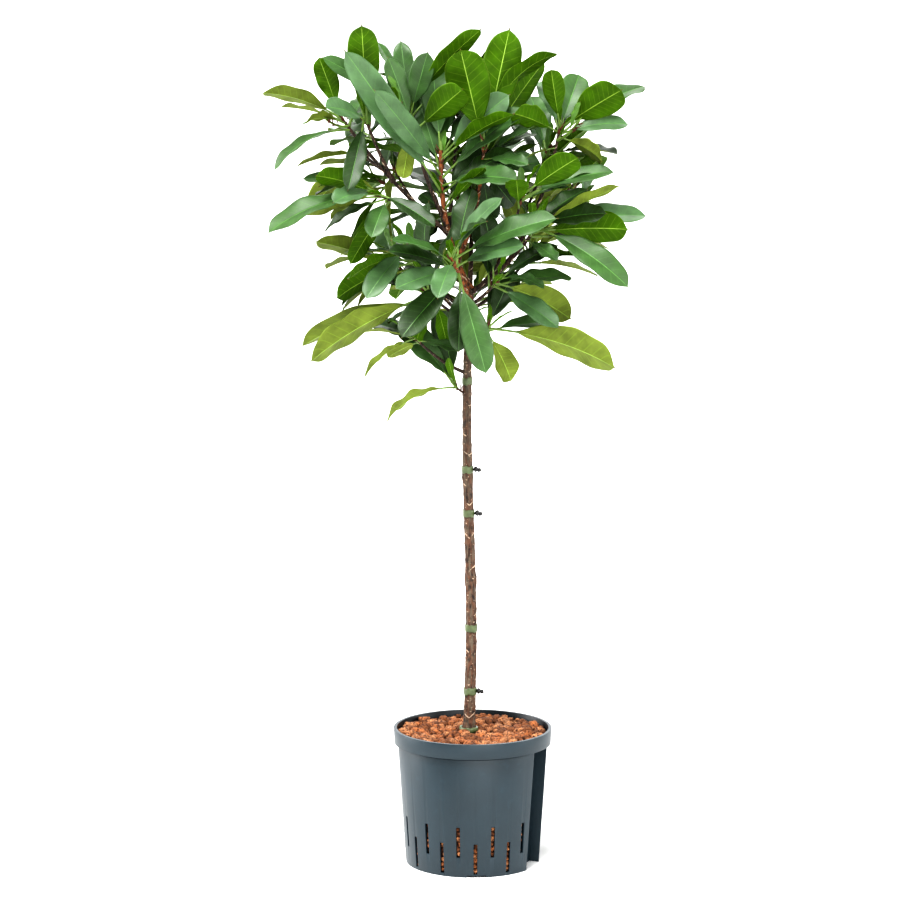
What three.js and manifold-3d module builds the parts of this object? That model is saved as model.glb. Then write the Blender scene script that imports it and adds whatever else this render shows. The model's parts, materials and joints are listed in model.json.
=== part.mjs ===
// Ficus cyathistipula grown as a small standard: one bare trunk under a round leafy crown,
// in a culture pot with drain slots and a groove for a water gauge, filled with clay granules.
// Millimetres, +Z up. The origin is the middle of the pot's flat underside. +X is to the right
// and +Y to the back, seen from the front. Headings are degrees from +X, anticlockwise from above.
import * as THREE from 'three';
import { mergeVertices } from 'three/addons/utils/BufferGeometryUtils.js';
import Module from 'manifold-3d';

const wasm = await Module();
wasm.setup();

// The gap between two solids that touch, and how far a cutting box runs past what it cuts
const CLEARANCE = 0.3;
const BEYOND = 30;

// How solids are joined and given back: when two corners are one, and the grids to snap them to
const SAME_CORNER = 1e-4;
const NEAR_CORNER = 1e-3;
const SNAP_GRIDS = [0.004, 0.006, 0.009, 0.013, 0.02, 0.03];

// Pot
const POT_HEIGHT = 190;
const RIM_RADIUS = 110;
const COLLAR_HEIGHT = 21;
const COLLAR_THICKNESS = 4.5;
const COLLAR_DRAFT = 1;
const BODY_TOP_RADIUS = 104;
const BODY_FOOT_RADIUS = 93;
const POT_WALL = 2.5;
const POT_SIDES = 36;
const GROOVE_HEADING = -22.5;
const GROOVE_WIDTH = 48;
const GROOVE_FLOOR_RADIUS = 76;
const GROOVE_HALF_ANGLE = 22.5;
const SLOT_WIDTH = 4;
const SLOT_LENGTH = 42;
const HIGH_SLOTS = 12;
const HIGH_SLOT_FOOT = 31;
const LOW_SLOT_FOOT = 7;

// Clay granules
const FILL_LEVEL = 177;
const GRANULES = 34;
const GRANULE_RADIUS = 7.5;
const GRANULE_SQUASH = 0.65;
const GRANULE_VARIATION = 0.4;
const GRANULE_RISE = 1;
const GRANULE_MARGIN = 11;
const GRANULE_SEED = 5;

// Trunk: a taper with a flared root, a slight sway and two swollen old joints
const TRUNK_TOP = 800;
const TRUNK_X = -5.2;
const TRUNK_SWAY = 3.1;
const SWAY_PEAK = 330;
const SWAY_LENGTH = 585;
const TRUNK_FOOT_RADIUS = 8.2;
const TRUNK_TOP_RADIUS = 5.4;
const FLARE = 3.2;
const FLARE_HEIGHT = 12;
const KNOT_HEIGHTS = [398, 541];
const KNOT_SWELL = 1.3;
const KNOT_REACH = 9;

// Soft ties round the trunk
const TIE_HEIGHTS = [189, 241, 330, 491, 552, 674];
const TAILED_TIES = [241, 491, 552];
const TIE_BREADTH = 10;
const TIE_THICKNESS = 1.5;
const TIE_SIDES = 13;
const TIE_TAIL = [11, 1.6, 5];

// Boughs, stems and twigs: sides and steps of their skins, taper, and where twigs leave a stem
const BOUGH_SIDES = 6;
const BOUGH_STEPS = 4;
const STEM_SIDES = 4;
const STEM_STEPS = 3;
const LIMB_TAPER = 0.4;
const CUT_SIDES = 8;
const CUT_REACH = 48;
const TWIG_SIDES = 3;
const TWIG_STEPS = 2;
const TWIG_LENGTH = 44;
const TWIG_VARIATION = 0.4;
const TWIG_SPREAD = 52;
const TWIG_SAG = 0.08;
const TWIG_RADIUS = 1.7;
const TWIG_OFFSET = 0.6;
const TWIG_LEAFY_SHARE = 0.5;
const LEAVES_PER_TWIG = 5;

// Leaves: a slim stalk, then a blade that is widest past its middle, folded and bent down
const LEAF_LENGTH = 122;
const LEAF_VARIATION = 0.3;
const LEAF_WIDTH_SHARE = 0.34;
const LEAF_THICKNESS = 2.2;
const LEAF_FOLD = 0.2;
const LEAF_BEND = 26;
const UPPER_FACE = 0.2;
const LEAF_SIDES = 3;
const LEAF_STATIONS = 4;
const STATION_POWER = 0.85;
const BLADE_START = 0.2;
const BLADE_SKEW = 1.4;
const BLADE_FULLNESS = 0.75;
const PETIOLE_RADIUS = 1.5;
const NARROW_SPREAD = 38;
const WIDE_SPREAD = 92;
const GOLDEN_ANGLE = 137.508;
const CHOSEN_OFFSET = 0.3;
const RULE_OFFSET = 0.5;
const FOLIAGE_SEED = 26;

// How leaves keep apart: a leaf that is crowded is tried a little longer or turned aside,
// and is left out where that doesn't help
const STRETCHES = [1, 1.05, 1.11, 1.18];
const TURNS = [0, 28, -28, 56, -56];
const OWN_SPACE = 215;
const CROWN_CENTRE = new THREE.Vector3(-18, 6, 915);
const CROWN_RADII = new THREE.Vector3(238, 250, 240);
const LEAF_CLEARANCE = 6.5;
const OWN_CLEARANCE = 3.5;
const SAMPLE_STEP = 6;
const SAMPLE_STATIONS = 16;
const SAMPLES_ACROSS = 3;
const LEAF_ROOT_SHARE = 0.06;
const LEAF_CROWDED_SHARE = 0.35;
const TWIG_ROOT_SHARE = 0.3;

const UP = new THREE.Vector3(0, 0, 1);
const rad = THREE.MathUtils.degToRad;

// Each mass of foliage grows from one stem. The bough starts at a share of its parent's length
// and the stem carries on from it to the bud. bow is how far the middle is off the straight line.
// leafy is the length of stem that carries leaves. A leaf row holds how far its tip lies to the
// right and up from its foot, its length, its roll, which is how far its upper face turns to the
// front, and its bend where that isn't the usual one. What the length has over goes into depth:
// leaves in toward come to the front, and leaves in away go to the back. Past those rows, more
// leaves and twigs grow by the rule for shoots.
const MASSES = [
  {
    name: 'leader', from: 'trunk', at: 1, bud: [-44, 0, 990], bow: [-11, 0, -12], stem: 88,
    radius: 4.6, leafy: 86, more: 5, twigs: 1,
    toward: [[45, 60, 88, 10], [52, 74, 104, -20]],
    away: [[105, 74, 145, 45], [-137, 30, 156, 50, 60], [107, 72, 142, -15], [-89, 138, 172, 35],
      [20, 95, 110, 0]],
  },
  {
    name: 'left_top', from: 'leader', at: 0.84, bud: [-181, -20, 1038], bow: [-6, 0, -4], stem: 50,
    radius: 3.2, leafy: 26, more: 3, twigs: 1,
    toward: [[-26, 83, 104, 0], [-105, 35, 132, -30], [-45, -4, 78, -40], [-97, -54, 118, 12, 50]],
    away: [[-30, 60, 95, 20], [30, 55, 90, 20], [-83, 14, 108, -12]],
  },
  {
    name: 'left_high', from: 'left_top', at: 0.6, bud: [-147, -26, 1036], bow: [0, -2, -4], stem: 44,
    radius: 2.8, leafy: 34, more: 3, twigs: 0,
    toward: [[0, 124, 138, -5], [-63, -3, 92, 50], [-32, -72, 108, 10]],
    away: [[10, 98, 110, 60], [-58, 84, 112, 40]],
  },
  {
    name: 'left_inner', from: 'leader', at: 0.94, bud: [-89, 15, 1060], bow: [-8, 0, 0], stem: 88,
    radius: 3, leafy: 66, more: 5, twigs: 1,
    toward: [[-31, 58, 84, 20], [20, 60, 90, 0], [-95, 112, 176, 55], [40, 30, 84, 20]],
    away: [[-4, 82, 100, 0], [37, 70, 95, 0], [92, 138, 174, -35]],
  },
  {
    name: 'left_mid', from: 'left_top', at: 0.32, bud: [-134, -52, 936], bow: [0, 0, -4], stem: 44,
    radius: 2.6, leafy: 30, more: 0, twigs: 0,
    toward: [[0, -58, 88, 20], [-24, -26, 66, 20], [-76, 22, 94, -50], [-152, -36, 168, 22]],
    away: [[10, 84, 98, 20], [-98, -30, 114, -45], [-40, 50, 84, 0]],
  },
  {
    name: 'left_low', from: 'trunk', at: 0.95, bud: [-93, -15, 862], bow: [-6, 0, -6], stem: 70,
    radius: 2.8, leafy: 40, more: 2, twigs: 1,
    toward: [[-62, 12, 82, -50], [-42, -44, 84, 20], [-76, -30, 98, -40]],
    away: [[-70, 30, 90, 50], [-76, -20, 100, -50], [-92, -48, 122, -30]],
  },
  {
    name: 'left_under', from: 'trunk', at: 0.93, bud: [-64, -36, 802], bow: [0, 0, -5], stem: 44,
    radius: 2.6, leafy: 30, more: 3, twigs: 0,
    toward: [[-158, -98, 194, -35], [-40, -60, 92, 30]],
    away: [[-118, -10, 132, -40], [-92, -28, 116, -30]],
  },
  {
    name: 'low_left', from: 'trunk', at: 0.815, bud: [-84, -34, 742], bow: [0, 0, -7], stem: 34,
    radius: 2.5, leafy: 24, more: 0, twigs: 0,
    toward: [[-20, -36, 70, -30], [46, 30, 76, -40]],
    away: [[-150, -20, 172, 20], [-66, -46, 104, -50], [-40, 24, 80, 0]],
  },
  {
    name: 'trunk_leaf', from: 'trunk', at: 0.768, bud: [-24, -14, 668], bow: [0, 0, -1], stem: 0,
    radius: 1.9, leafy: 4, more: 0, twigs: 0,
    toward: [[-100, -42, 122, -35, 56]],
    away: [],
  },
  {
    name: 'low_right', from: 'trunk', at: 0.885, bud: [22, -35, 752], bow: [0, 0, -4], stem: 0,
    radius: 2.4, leafy: 16, more: 2, twigs: 0,
    toward: [[170, -40, 184, -62, 40], [44, -38, 76, -40]],
    away: [[60, 20, 90, 20]],
  },
  {
    name: 'right_low', from: 'trunk', at: 0.965, bud: [34, -46, 818], bow: [0, 0, -4], stem: 28,
    radius: 2.8, leafy: 26, more: 4, twigs: 0,
    toward: [[65, -6, 88, -20], [84, -44, 108, 45], [-49, -94, 118, 10], [30, -24, 70, 30]],
    away: [[106, -50, 138, -50], [40, 30, 70, 0]],
  },
  {
    name: 'right', from: 'trunk', at: 0.992, bud: [87, -22, 890], bow: [6, 0, -5], stem: 46,
    radius: 3.4, leafy: 30, more: 4, twigs: 1,
    toward: [[124, 4, 142, -45], [126, -60, 154, 50, 40], [26, -27, 78, 20]],
    away: [[110, 60, 140, -20], [158, 12, 168, 40], [92, 44, 122, 45], [95, -50, 128, 30]],
  },
  {
    name: 'right_mid', from: 'right', at: 0.6, bud: [66, -60, 934], bow: [0, -4, -4], stem: 34,
    radius: 2.5, leafy: 24, more: 4, twigs: 0,
    toward: [[40, -4, 66, -50], [12, 22, 55, 0], [-30, 42, 76, 30], [40, -46, 80, 30]],
    away: [[76, 57, 112, -30], [125, 31, 142, 45], [71, 8, 95, 20]],
  },
  {
    name: 'centre', from: 'leader', at: 0.45, bud: [14, -24, 1004], bow: [8, 0, -8], stem: 66,
    radius: 3.2, leafy: 40, more: 5, twigs: 1,
    toward: [[-40, 122, 140, 0], [36, 166, 180, -10], [60, -30, 90, 40]],
    away: [[104, 88, 139, -35], [-40, 60, 90, 0]],
  },
  {
    name: 'right_top', from: 'right', at: 0.74, bud: [117, -10, 1022], bow: [10, 4, -4], stem: 48,
    radius: 3, leafy: 30, more: 4, twigs: 1,
    toward: [[-11, 83, 98, 0], [80, 55, 114, -35], [56, -30, 80, -40]],
    away: [[10, 84, 104, 10], [124, 57, 150, 45], [95, 6, 112, 40], [-29, 65, 84, -15]],
  },
  {
    name: 'front', from: 'trunk', at: 0.98, bud: [-31, -86, 852], bow: [4, -4, -8], stem: 58,
    radius: 3.6, leafy: 50, more: 4, twigs: 0,
    toward: [[-80, 36, 100, 35], [64, 18, 88, 35], [-75, -4, 98, 45], [84, 48, 114, 40],
      [-15, -34, 72, 10], [130, 74, 164, 45], [-68, -64, 110, 30], [30, -112, 140, 5]],
    away: [[45, 60, 84, 30], [-50, 70, 92, 20]],
  },
  {
    name: 'back', from: 'trunk', at: 0.985, bud: [0, 112, 930], bow: [0, 8, -12], stem: 60,
    radius: 3.6, leafy: 34, more: 7, twigs: 2, toward: [], away: [],
  },
  {
    name: 'back_top', from: 'leader', at: 0.85, bud: [-20, 84, 1044], bow: [0, 10, -10], stem: 60,
    radius: 3, leafy: 34, more: 7, twigs: 2, toward: [], away: [],
  },
  {
    name: 'back_left', from: 'left_top', at: 0.2, bud: [-112, 100, 966], bow: [0, 10, -10], stem: 56,
    radius: 2.8, leafy: 34, more: 7, twigs: 2, toward: [], away: [],
  },
  {
    name: 'back_left_low', from: 'trunk', at: 0.93, bud: [-92, 98, 852], bow: [0, 8, -10], stem: 54,
    radius: 2.8, leafy: 34, more: 7, twigs: 2, toward: [], away: [],
  },
  {
    name: 'back_right', from: 'right', at: 0.25, bud: [100, 100, 968], bow: [4, 12, -10], stem: 56,
    radius: 2.8, leafy: 34, more: 7, twigs: 2, toward: [], away: [],
  },
  {
    name: 'back_right_low', from: 'trunk', at: 0.955, bud: [84, 98, 852], bow: [6, 8, -10], stem: 54,
    radius: 2.8, leafy: 34, more: 7, twigs: 2, toward: [], away: [],
  },
  {
    name: 'back_low', from: 'trunk', at: 0.9, bud: [0, 80, 786], bow: [0, 6, -8], stem: 44,
    radius: 2.6, leafy: 28, more: 7, twigs: 2, toward: [], away: [],
  },
  {
    name: 'side_left', from: 'left_top', at: 0.75, bud: [-158, 56, 1000], bow: [0, 8, -8], stem: 40,
    radius: 2.5, leafy: 28, more: 7, twigs: 2, toward: [], away: [],
  },
  {
    name: 'side_right', from: 'right_top', at: 0.3, bud: [138, 54, 940], bow: [6, 8, -8], stem: 44,
    radius: 2.5, leafy: 28, more: 7, twigs: 2, toward: [], away: [],
  },
];

const MATERIALS = {
  pot: { color: '#566973', roughness: 0.62 },
  granules: { color: '#b5623a', roughness: 0.95 },
  bark: { color: '#7a5540', roughness: 0.85 },
  tie: { color: '#7f9a6a', roughness: 0.6 },
  foliage: { color: '#3f7a2c', roughness: 0.45 },
};

const part = new THREE.Group();

function addMesh(name, geometry, materialName) {
  const look = MATERIALS[materialName];
  const material = new THREE.MeshStandardMaterial({ ...look, metalness: 0 });
  material.name = materialName;
  const mesh = new THREE.Mesh(geometry, material);
  mesh.name = name;
  part.add(mesh);
}

// A geometry's corners with like ones taken as one, and its faces without any that are flat lines
function shareCorners(geometry, tolerance) {
  const bare = geometry.clone();
  for (const name of Object.keys(bare.attributes)) {
    if (name !== 'position') bare.deleteAttribute(name);
  }
  const merged = mergeVertices(bare, tolerance);
  const index = merged.index.array;
  const corners = [];
  for (let i = 0; i < index.length; i += 3) {
    const [a, b, c] = [index[i], index[i + 1], index[i + 2]];
    if (a !== b && b !== c && c !== a) corners.push(a, b, c);
  }
  return { merged, corners };
}

// Turns a closed geometry into a solid for joining and cutting
function toSolid(geometry) {
  const { merged, corners } = shareCorners(geometry, SAME_CORNER);
  return new wasm.Manifold(new wasm.Mesh({
    numProp: 3,
    vertProperties: new Float32Array(merged.attributes.position.array),
    triVerts: new Uint32Array(corners),
  }));
}

// The largest piece of a solid, so without any loose scrap that a cut left
function largestPiece(solid) {
  return solid.decompose().sort((a, b) => b.volume() - a.volume())[0];
}

function asGeometry(solid) {
  const mesh = solid.getMesh();
  const geometry = new THREE.BufferGeometry();
  geometry.setAttribute('position', new THREE.BufferAttribute(mesh.vertProperties, 3));
  geometry.setIndex(new THREE.BufferAttribute(mesh.triVerts, 1));
  return geometry;
}

// True when each edge joins just two faces
function isClosed(geometry) {
  const { corners } = shareCorners(geometry, NEAR_CORNER);
  const uses = new Map();
  for (let i = 0; i < corners.length; i += 1) {
    const next = i % 3 === 2 ? i - 2 : i + 1;
    const edge = [corners[i], corners[next]].sort((a, b) => a - b).join(' ');
    uses.set(edge, (uses.get(edge) ?? 0) + 1);
  }
  return [...uses.values()].every((count) => count === 2);
}

// Gives a solid back as a geometry whose corners lie on a fine grid, which closes the slivers.
// The next grid is tried where one brings two edges together.
function toGeometry(solid) {
  let geometry;
  SNAP_GRIDS.some((grid) => {
    const snapped = asGeometry(largestPiece(solid));
    const position = snapped.attributes.position;
    for (let i = 0; i < position.array.length; i += 1) {
      position.array[i] = Math.round(position.array[i] / grid) * grid;
    }
    geometry = asGeometry(largestPiece(toSolid(snapped)));
    return isClosed(geometry);
  });
  geometry.computeVertexNormals();
  return geometry;
}

function lathe(profile) {
  const points = profile.map(([radius, height]) => new THREE.Vector2(radius, height));
  return toSolid(new THREE.LatheGeometry(points, POT_SIDES).rotateX(Math.PI / 2));
}

// A box that stands out from the pot's axis along a heading
function radialBox(heading, nearRadius, farRadius, width, low, high) {
  const box = new THREE.BoxGeometry(farRadius - nearRadius, width, high - low);
  box.translate((farRadius + nearRadius) / 2, 0, (high + low) / 2);
  return toSolid(box.rotateZ(rad(heading)));
}

const COLLAR_FOOT = POT_HEIGHT - COLLAR_HEIGHT;
const INNER_RIM_RADIUS = RIM_RADIUS - COLLAR_THICKNESS;

// The hollow of the pot, or with a gap the clay that fills it
function potInside(gap, top) {
  const ledge = COLLAR_FOOT + POT_WALL;
  const room = lathe([
    [0, POT_WALL + gap],
    [BODY_FOOT_RADIUS - POT_WALL - gap, POT_WALL + gap],
    [BODY_TOP_RADIUS - POT_WALL - gap, ledge + gap],
    [INNER_RIM_RADIUS - gap, ledge + gap],
    [INNER_RIM_RADIUS - gap, top],
    [0, top],
  ]);
  const wall = POT_WALL + gap;
  const width = GROOVE_WIDTH + 2 * wall;
  const near = GROOVE_FLOOR_RADIUS - wall;
  return room.subtract(radialBox(GROOVE_HEADING, near, RIM_RADIUS + BEYOND, width, -BEYOND, ledge + gap));
}

function makePot() {
  let pot = lathe([
    [0, 0],
    [BODY_FOOT_RADIUS, 0],
    [BODY_TOP_RADIUS, COLLAR_FOOT],
    [RIM_RADIUS - COLLAR_DRAFT, COLLAR_FOOT],
    [RIM_RADIUS, POT_HEIGHT],
    [0, POT_HEIGHT],
  ]);
  const groove = radialBox(
    GROOVE_HEADING, GROOVE_FLOOR_RADIUS, RIM_RADIUS + BEYOND, GROOVE_WIDTH, -BEYOND, COLLAR_FOOT);
  pot = pot.subtract(groove).subtract(potInside(0, POT_HEIGHT + BEYOND));
  const pitch = (360 - 2 * GROOVE_HALF_ANGLE) / (HIGH_SLOTS - 1);
  for (let i = 0; i < 2 * HIGH_SLOTS - 1; i += 1) {
    const heading = GROOVE_HEADING - GROOVE_HALF_ANGLE - (i * pitch) / 2;
    const foot = i % 2 === 0 ? HIGH_SLOT_FOOT : LOW_SLOT_FOOT;
    const near = BODY_FOOT_RADIUS - 2 * POT_WALL;
    pot = pot.subtract(radialBox(heading, near, RIM_RADIUS, SLOT_WIDTH, foot, foot + SLOT_LENGTH));
  }
  addMesh('pot', toGeometry(pot), 'pot');
}

// The same run of random shares for the same seed
function seededRandom(seed) {
  let state = Math.imul(seed, 747796405) >>> 0;
  return () => {
    state = (Math.imul(state, 1664525) + 1013904223) >>> 0;
    return state / 2 ** 32;
  };
}

// A factor near 1, up to half the variation more or less
function varied(random, variation) {
  return 1 - variation * (0.5 - random());
}

function makeGranules() {
  const random = seededRandom(GRANULE_SEED);
  let fill = potInside(CLEARANCE, FILL_LEVEL);
  const reach = INNER_RIM_RADIUS - GRANULE_MARGIN;
  const inner = TRUNK_FOOT_RADIUS + FLARE - TRUNK_X + GRANULE_MARGIN;
  for (let i = 0; i < GRANULES; i += 1) {
    const radius = inner + (reach - inner) * Math.sqrt((i + 0.5) / GRANULES);
    const heading = rad(i * GOLDEN_ANGLE);
    const size = GRANULE_RADIUS * varied(random, GRANULE_VARIATION);
    const granule = new THREE.IcosahedronGeometry(size, 0);
    granule.scale(1, 1, GRANULE_SQUASH);
    granule.rotateZ(2 * Math.PI * random());
    granule.translate(radius * Math.cos(heading), radius * Math.sin(heading), FILL_LEVEL + GRANULE_RISE);
    fill = fill.add(toSolid(granule));
  }
  addMesh('clay_granules', toGeometry(fill), 'granules');
}

// The trunk's centre line: t runs from the foot to the top
class TrunkCurve extends THREE.Curve {
  getPoint(t, target = new THREE.Vector3()) {
    const height = THREE.MathUtils.lerp(FILL_LEVEL + CLEARANCE, TRUNK_TOP, t);
    const phase = (2 * Math.PI * (height - SWAY_PEAK)) / SWAY_LENGTH;
    return target.set(TRUNK_X + TRUNK_SWAY * Math.cos(phase), 0, height);
  }
}

function trunkRadius(height) {
  const share = (height - FILL_LEVEL) / (TRUNK_TOP - FILL_LEVEL);
  let radius = THREE.MathUtils.lerp(TRUNK_FOOT_RADIUS, TRUNK_TOP_RADIUS, share);
  radius += FLARE * Math.exp((FILL_LEVEL - height) / FLARE_HEIGHT);
  for (const knot of KNOT_HEIGHTS) {
    radius += KNOT_SWELL * Math.exp(-(((height - knot) / KNOT_REACH) ** 2));
  }
  return radius;
}

// A closed skin round a curve. place gives each point from t along it and a unit circle's x and y.
function loft(sides, steps, place) {
  const geometry = new THREE.CylinderGeometry(1, 1, 1, sides, steps).rotateX(Math.PI / 2);
  const position = geometry.attributes.position;
  for (let i = 0; i < position.count; i += 1) {
    const t = position.getZ(i) + 0.5;
    const point = place(t, position.getX(i), position.getY(i));
    position.setXYZ(i, point.x, point.y, point.z);
  }
  return toSolid(geometry);
}

// A stretch of a limb from t0 to t1. grow makes it thicker all round, for the cuts.
function limbSolid(limb, t0, t1, sides, steps, grow = 0) {
  const across = new THREE.Vector3(0, 1, 0).cross(limb.curve.getTangent((t0 + t1) / 2)).normalize();
  return loft(sides, steps, (share, x, y) => {
    const t = THREE.MathUtils.lerp(t0, t1, share);
    const along = limb.level ? UP : limb.curve.getTangent(t);
    const side = along.clone().cross(across).normalize();
    const radius = (limb.radiusAt(t) + grow) / (grow > 0 ? Math.cos(Math.PI / sides) : 1);
    const point = limb.curve.getPoint(t);
    const front = side.clone().cross(along).normalize();
    return point.addScaledVector(front, radius * x).addScaledVector(side, radius * y);
  });
}

const trunk = {
  curve: new TrunkCurve(),
  length: TRUNK_TOP - FILL_LEVEL,
  end: 1,
  level: true,
  sides: 9,
  steps: 26,
  radiusAt: (t) => trunkRadius(THREE.MathUtils.lerp(FILL_LEVEL, TRUNK_TOP, t)),
};

function makeTies() {
  const run = TRUNK_TOP - FILL_LEVEL;
  const trunkCut = limbSolid(trunk, 0, 1, trunk.sides, trunk.steps, CLEARANCE);
  TIE_HEIGHTS.forEach((height, i) => {
    const t0 = (height - TIE_BREADTH / 2 - FILL_LEVEL) / run;
    const t1 = (height + TIE_BREADTH / 2 - FILL_LEVEL) / run;
    let tie = limbSolid(trunk, t0, t1, TIE_SIDES, 1, TIE_THICKNESS + CLEARANCE);
    if (TAILED_TIES.includes(height)) {
      const middle = trunk.curve.getPoint((t0 + t1) / 2);
      const reach = trunk.radiusAt(t0) + TIE_TAIL[0] / 2;
      const tail = new THREE.BoxGeometry(...TIE_TAIL).translate(middle.x + reach, 0, height);
      tie = tie.add(toSolid(tail));
    }
    tie = tie.subtract(trunkCut);
    addMesh(`tie_${i + 1}`, toGeometry(tie), 'tie');
  });
}

// Points that are already taken, in cells, so that a new leaf can be tested against its neighbours
class TakenSpace {
  constructor() {
    this.cells = new Map();
  }

  key(x, y, z) {
    return x + 1000 * y + 1000000 * z;
  }

  add(points, owner) {
    for (const point of points) {
      const cell = point.clone().divideScalar(LEAF_CLEARANCE).floor();
      const key = this.key(cell.x, cell.y, cell.z);
      if (!this.cells.has(key)) this.cells.set(key, []);
      this.cells.get(key).push({ point, owner });
    }
  }

  // ownRoom is how near points of the same mass may come
  isClear(points, owner, ownRoom) {
    return points.every((point) => {
      const cell = point.clone().divideScalar(LEAF_CLEARANCE).floor();
      for (let i = 0; i < 27; i += 1) {
        const key = this.key(
          cell.x + (i % 3) - 1, cell.y + (Math.floor(i / 3) % 3) - 1, cell.z + Math.floor(i / 9) - 1);
        for (const near of this.cells.get(key) ?? []) {
          const room = near.owner === owner ? ownRoom : LEAF_CLEARANCE;
          if (near.point.distanceTo(point) < room) return false;
        }
      }
      return true;
    });
  }
}

const taken = new TakenSpace();

// Points on a limb's skin
function limbPoints(limb, t0, t1) {
  const points = [];
  const count = Math.ceil(((t1 - t0) * limb.length) / SAMPLE_STEP);
  for (let i = 0; i <= count; i += 1) {
    const t = THREE.MathUtils.lerp(t0, t1, i / count);
    const along = limb.curve.getTangent(t);
    const side = new THREE.Vector3(0, 1, 0).cross(along).normalize();
    const front = side.clone().cross(along);
    const middle = limb.curve.getPoint(t);
    const radius = limb.radiusAt(t);
    for (let corner = 0; corner < BOUGH_SIDES; corner += 1) {
      const turn = (2 * Math.PI * corner) / BOUGH_SIDES;
      points.push(middle.clone()
        .addScaledVector(side, radius * Math.cos(turn))
        .addScaledVector(front, radius * Math.sin(turn)));
    }
  }
  return points;
}

function curveLength(curve) {
  let length = 0;
  for (let i = 0; i < SAMPLE_STATIONS; i += 1) {
    length += curve.getPoint(i / SAMPLE_STATIONS).distanceTo(curve.getPoint((i + 1) / SAMPLE_STATIONS));
  }
  return length;
}

function bowedCurve(foot, tip, bow) {
  const control = foot.clone().lerp(tip, 0.5).addScaledVector(bow, 2);
  return new THREE.QuadraticBezierCurve3(foot, control, tip);
}

// Half of a blade's width, as a share of the most: narrow at the foot and widest past the middle
function bladeOutline(share) {
  if (share < BLADE_START) return 0;
  const along = (share - BLADE_START) / (1 - BLADE_START);
  return Math.max(Math.sin(Math.PI * along ** BLADE_SKEW), 0) ** BLADE_FULLNESS;
}

// A leaf from its foot, the direction and length of its chord and the way its upper face looks
function makeLeaf(foot, direction, length, normal, bend = LEAF_BEND) {
  const width = length * LEAF_WIDTH_SHARE;
  const face = normal.clone().addScaledVector(direction, -normal.dot(direction)).normalize();
  return { foot, direction, length, face, across: direction.clone().cross(face), width, bend };
}

// A point of the leaf: share runs from foot to tip, across from edge to edge, lift off its face
function leafPoint(leaf, share, across, lift) {
  const half = rad(leaf.bend) / 2;
  const angle = half - 2 * half * share;
  const scale = leaf.length / (2 * Math.sin(half));
  const along = (Math.sin(half) - Math.sin(angle)) * scale;
  const rise = (Math.cos(angle) - Math.cos(half)) * scale;
  return leaf.foot.clone()
    .addScaledVector(leaf.direction, along)
    .addScaledVector(leaf.face, rise + lift)
    .addScaledVector(leaf.across, across);
}

// Points over the blade from edge to edge, for the test of what is near
function leafPoints(leaf, start, end) {
  const points = [];
  for (let i = 0; i <= SAMPLE_STATIONS; i += 1) {
    const share = THREE.MathUtils.lerp(start, end, i / SAMPLE_STATIONS);
    const half = (leaf.width / 2) * bladeOutline(share);
    for (let j = -SAMPLES_ACROSS; j <= SAMPLES_ACROSS; j += 1) {
      const across = (half * j) / SAMPLES_ACROSS;
      points.push(leafPoint(leaf, share, across, Math.abs(across) * LEAF_FOLD));
    }
  }
  return points;
}

// A leaf's solid has three sides: a keel below and a half of the upper face on each side
function leafSolid(leaf) {
  const widen = 1 / Math.cos(Math.PI / (2 * LEAF_SIDES));
  return loft(LEAF_SIDES, LEAF_STATIONS, (station, x, y) => {
    if (station === 1) return leafPoint(leaf, 1, 0, 0);
    const share = station ** STATION_POWER;
    const half = Math.max((leaf.width / 2) * bladeOutline(share), PETIOLE_RADIUS);
    const edge = Math.abs(x) * half * LEAF_FOLD;
    const lift = y < 0 ? -LEAF_THICKNESS : edge + UPPER_FACE * LEAF_THICKNESS;
    return leafPoint(leaf, share, -x * widen * half, lift);
  });
}

// Where a photo-side leaf points: its reach across and up are known, and depth takes the rest
function chosenLeaf(foot, [across, up, length, roll, bend], depthSign) {
  const depth = Math.sqrt(Math.max(length ** 2 - across ** 2 - up ** 2, 1));
  const direction = new THREE.Vector3(across, depthSign * depth, up).normalize();
  const upright = UP.clone().addScaledVector(direction, -direction.z).normalize();
  const side = direction.clone().cross(upright).multiplyScalar(across < 0 ? -1 : 1);
  const normal = upright.multiplyScalar(Math.cos(rad(roll))).addScaledVector(side, Math.sin(rad(roll)));
  return makeLeaf(foot, direction, length, normal, bend);
}

function inCrown(point) {
  return point.clone().sub(CROWN_CENTRE).divide(CROWN_RADII).length() < 1;
}

// Tries a leaf for a mass: it stays in the crown and in its own space, and clear of the rest
function tryLeaf(mass, leaf, chosen) {
  const tip = leafPoint(leaf, 1, 0, 0);
  if (!chosen && !(inCrown(tip) && tip.distanceTo(mass.bud) < OWN_SPACE)) return false;
  const blade = leafPoints(leaf, LEAF_CROWDED_SHARE, 1);
  const root = leafPoints(leaf, LEAF_ROOT_SHARE, LEAF_CROWDED_SHARE);
  if (!taken.isClear(blade, mass.name, OWN_CLEARANCE) || !taken.isClear(root, mass.name, 0)) return false;
  taken.add([...blade, ...root], mass.name);
  mass.leaves.push(leaf);
  return true;
}

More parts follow.
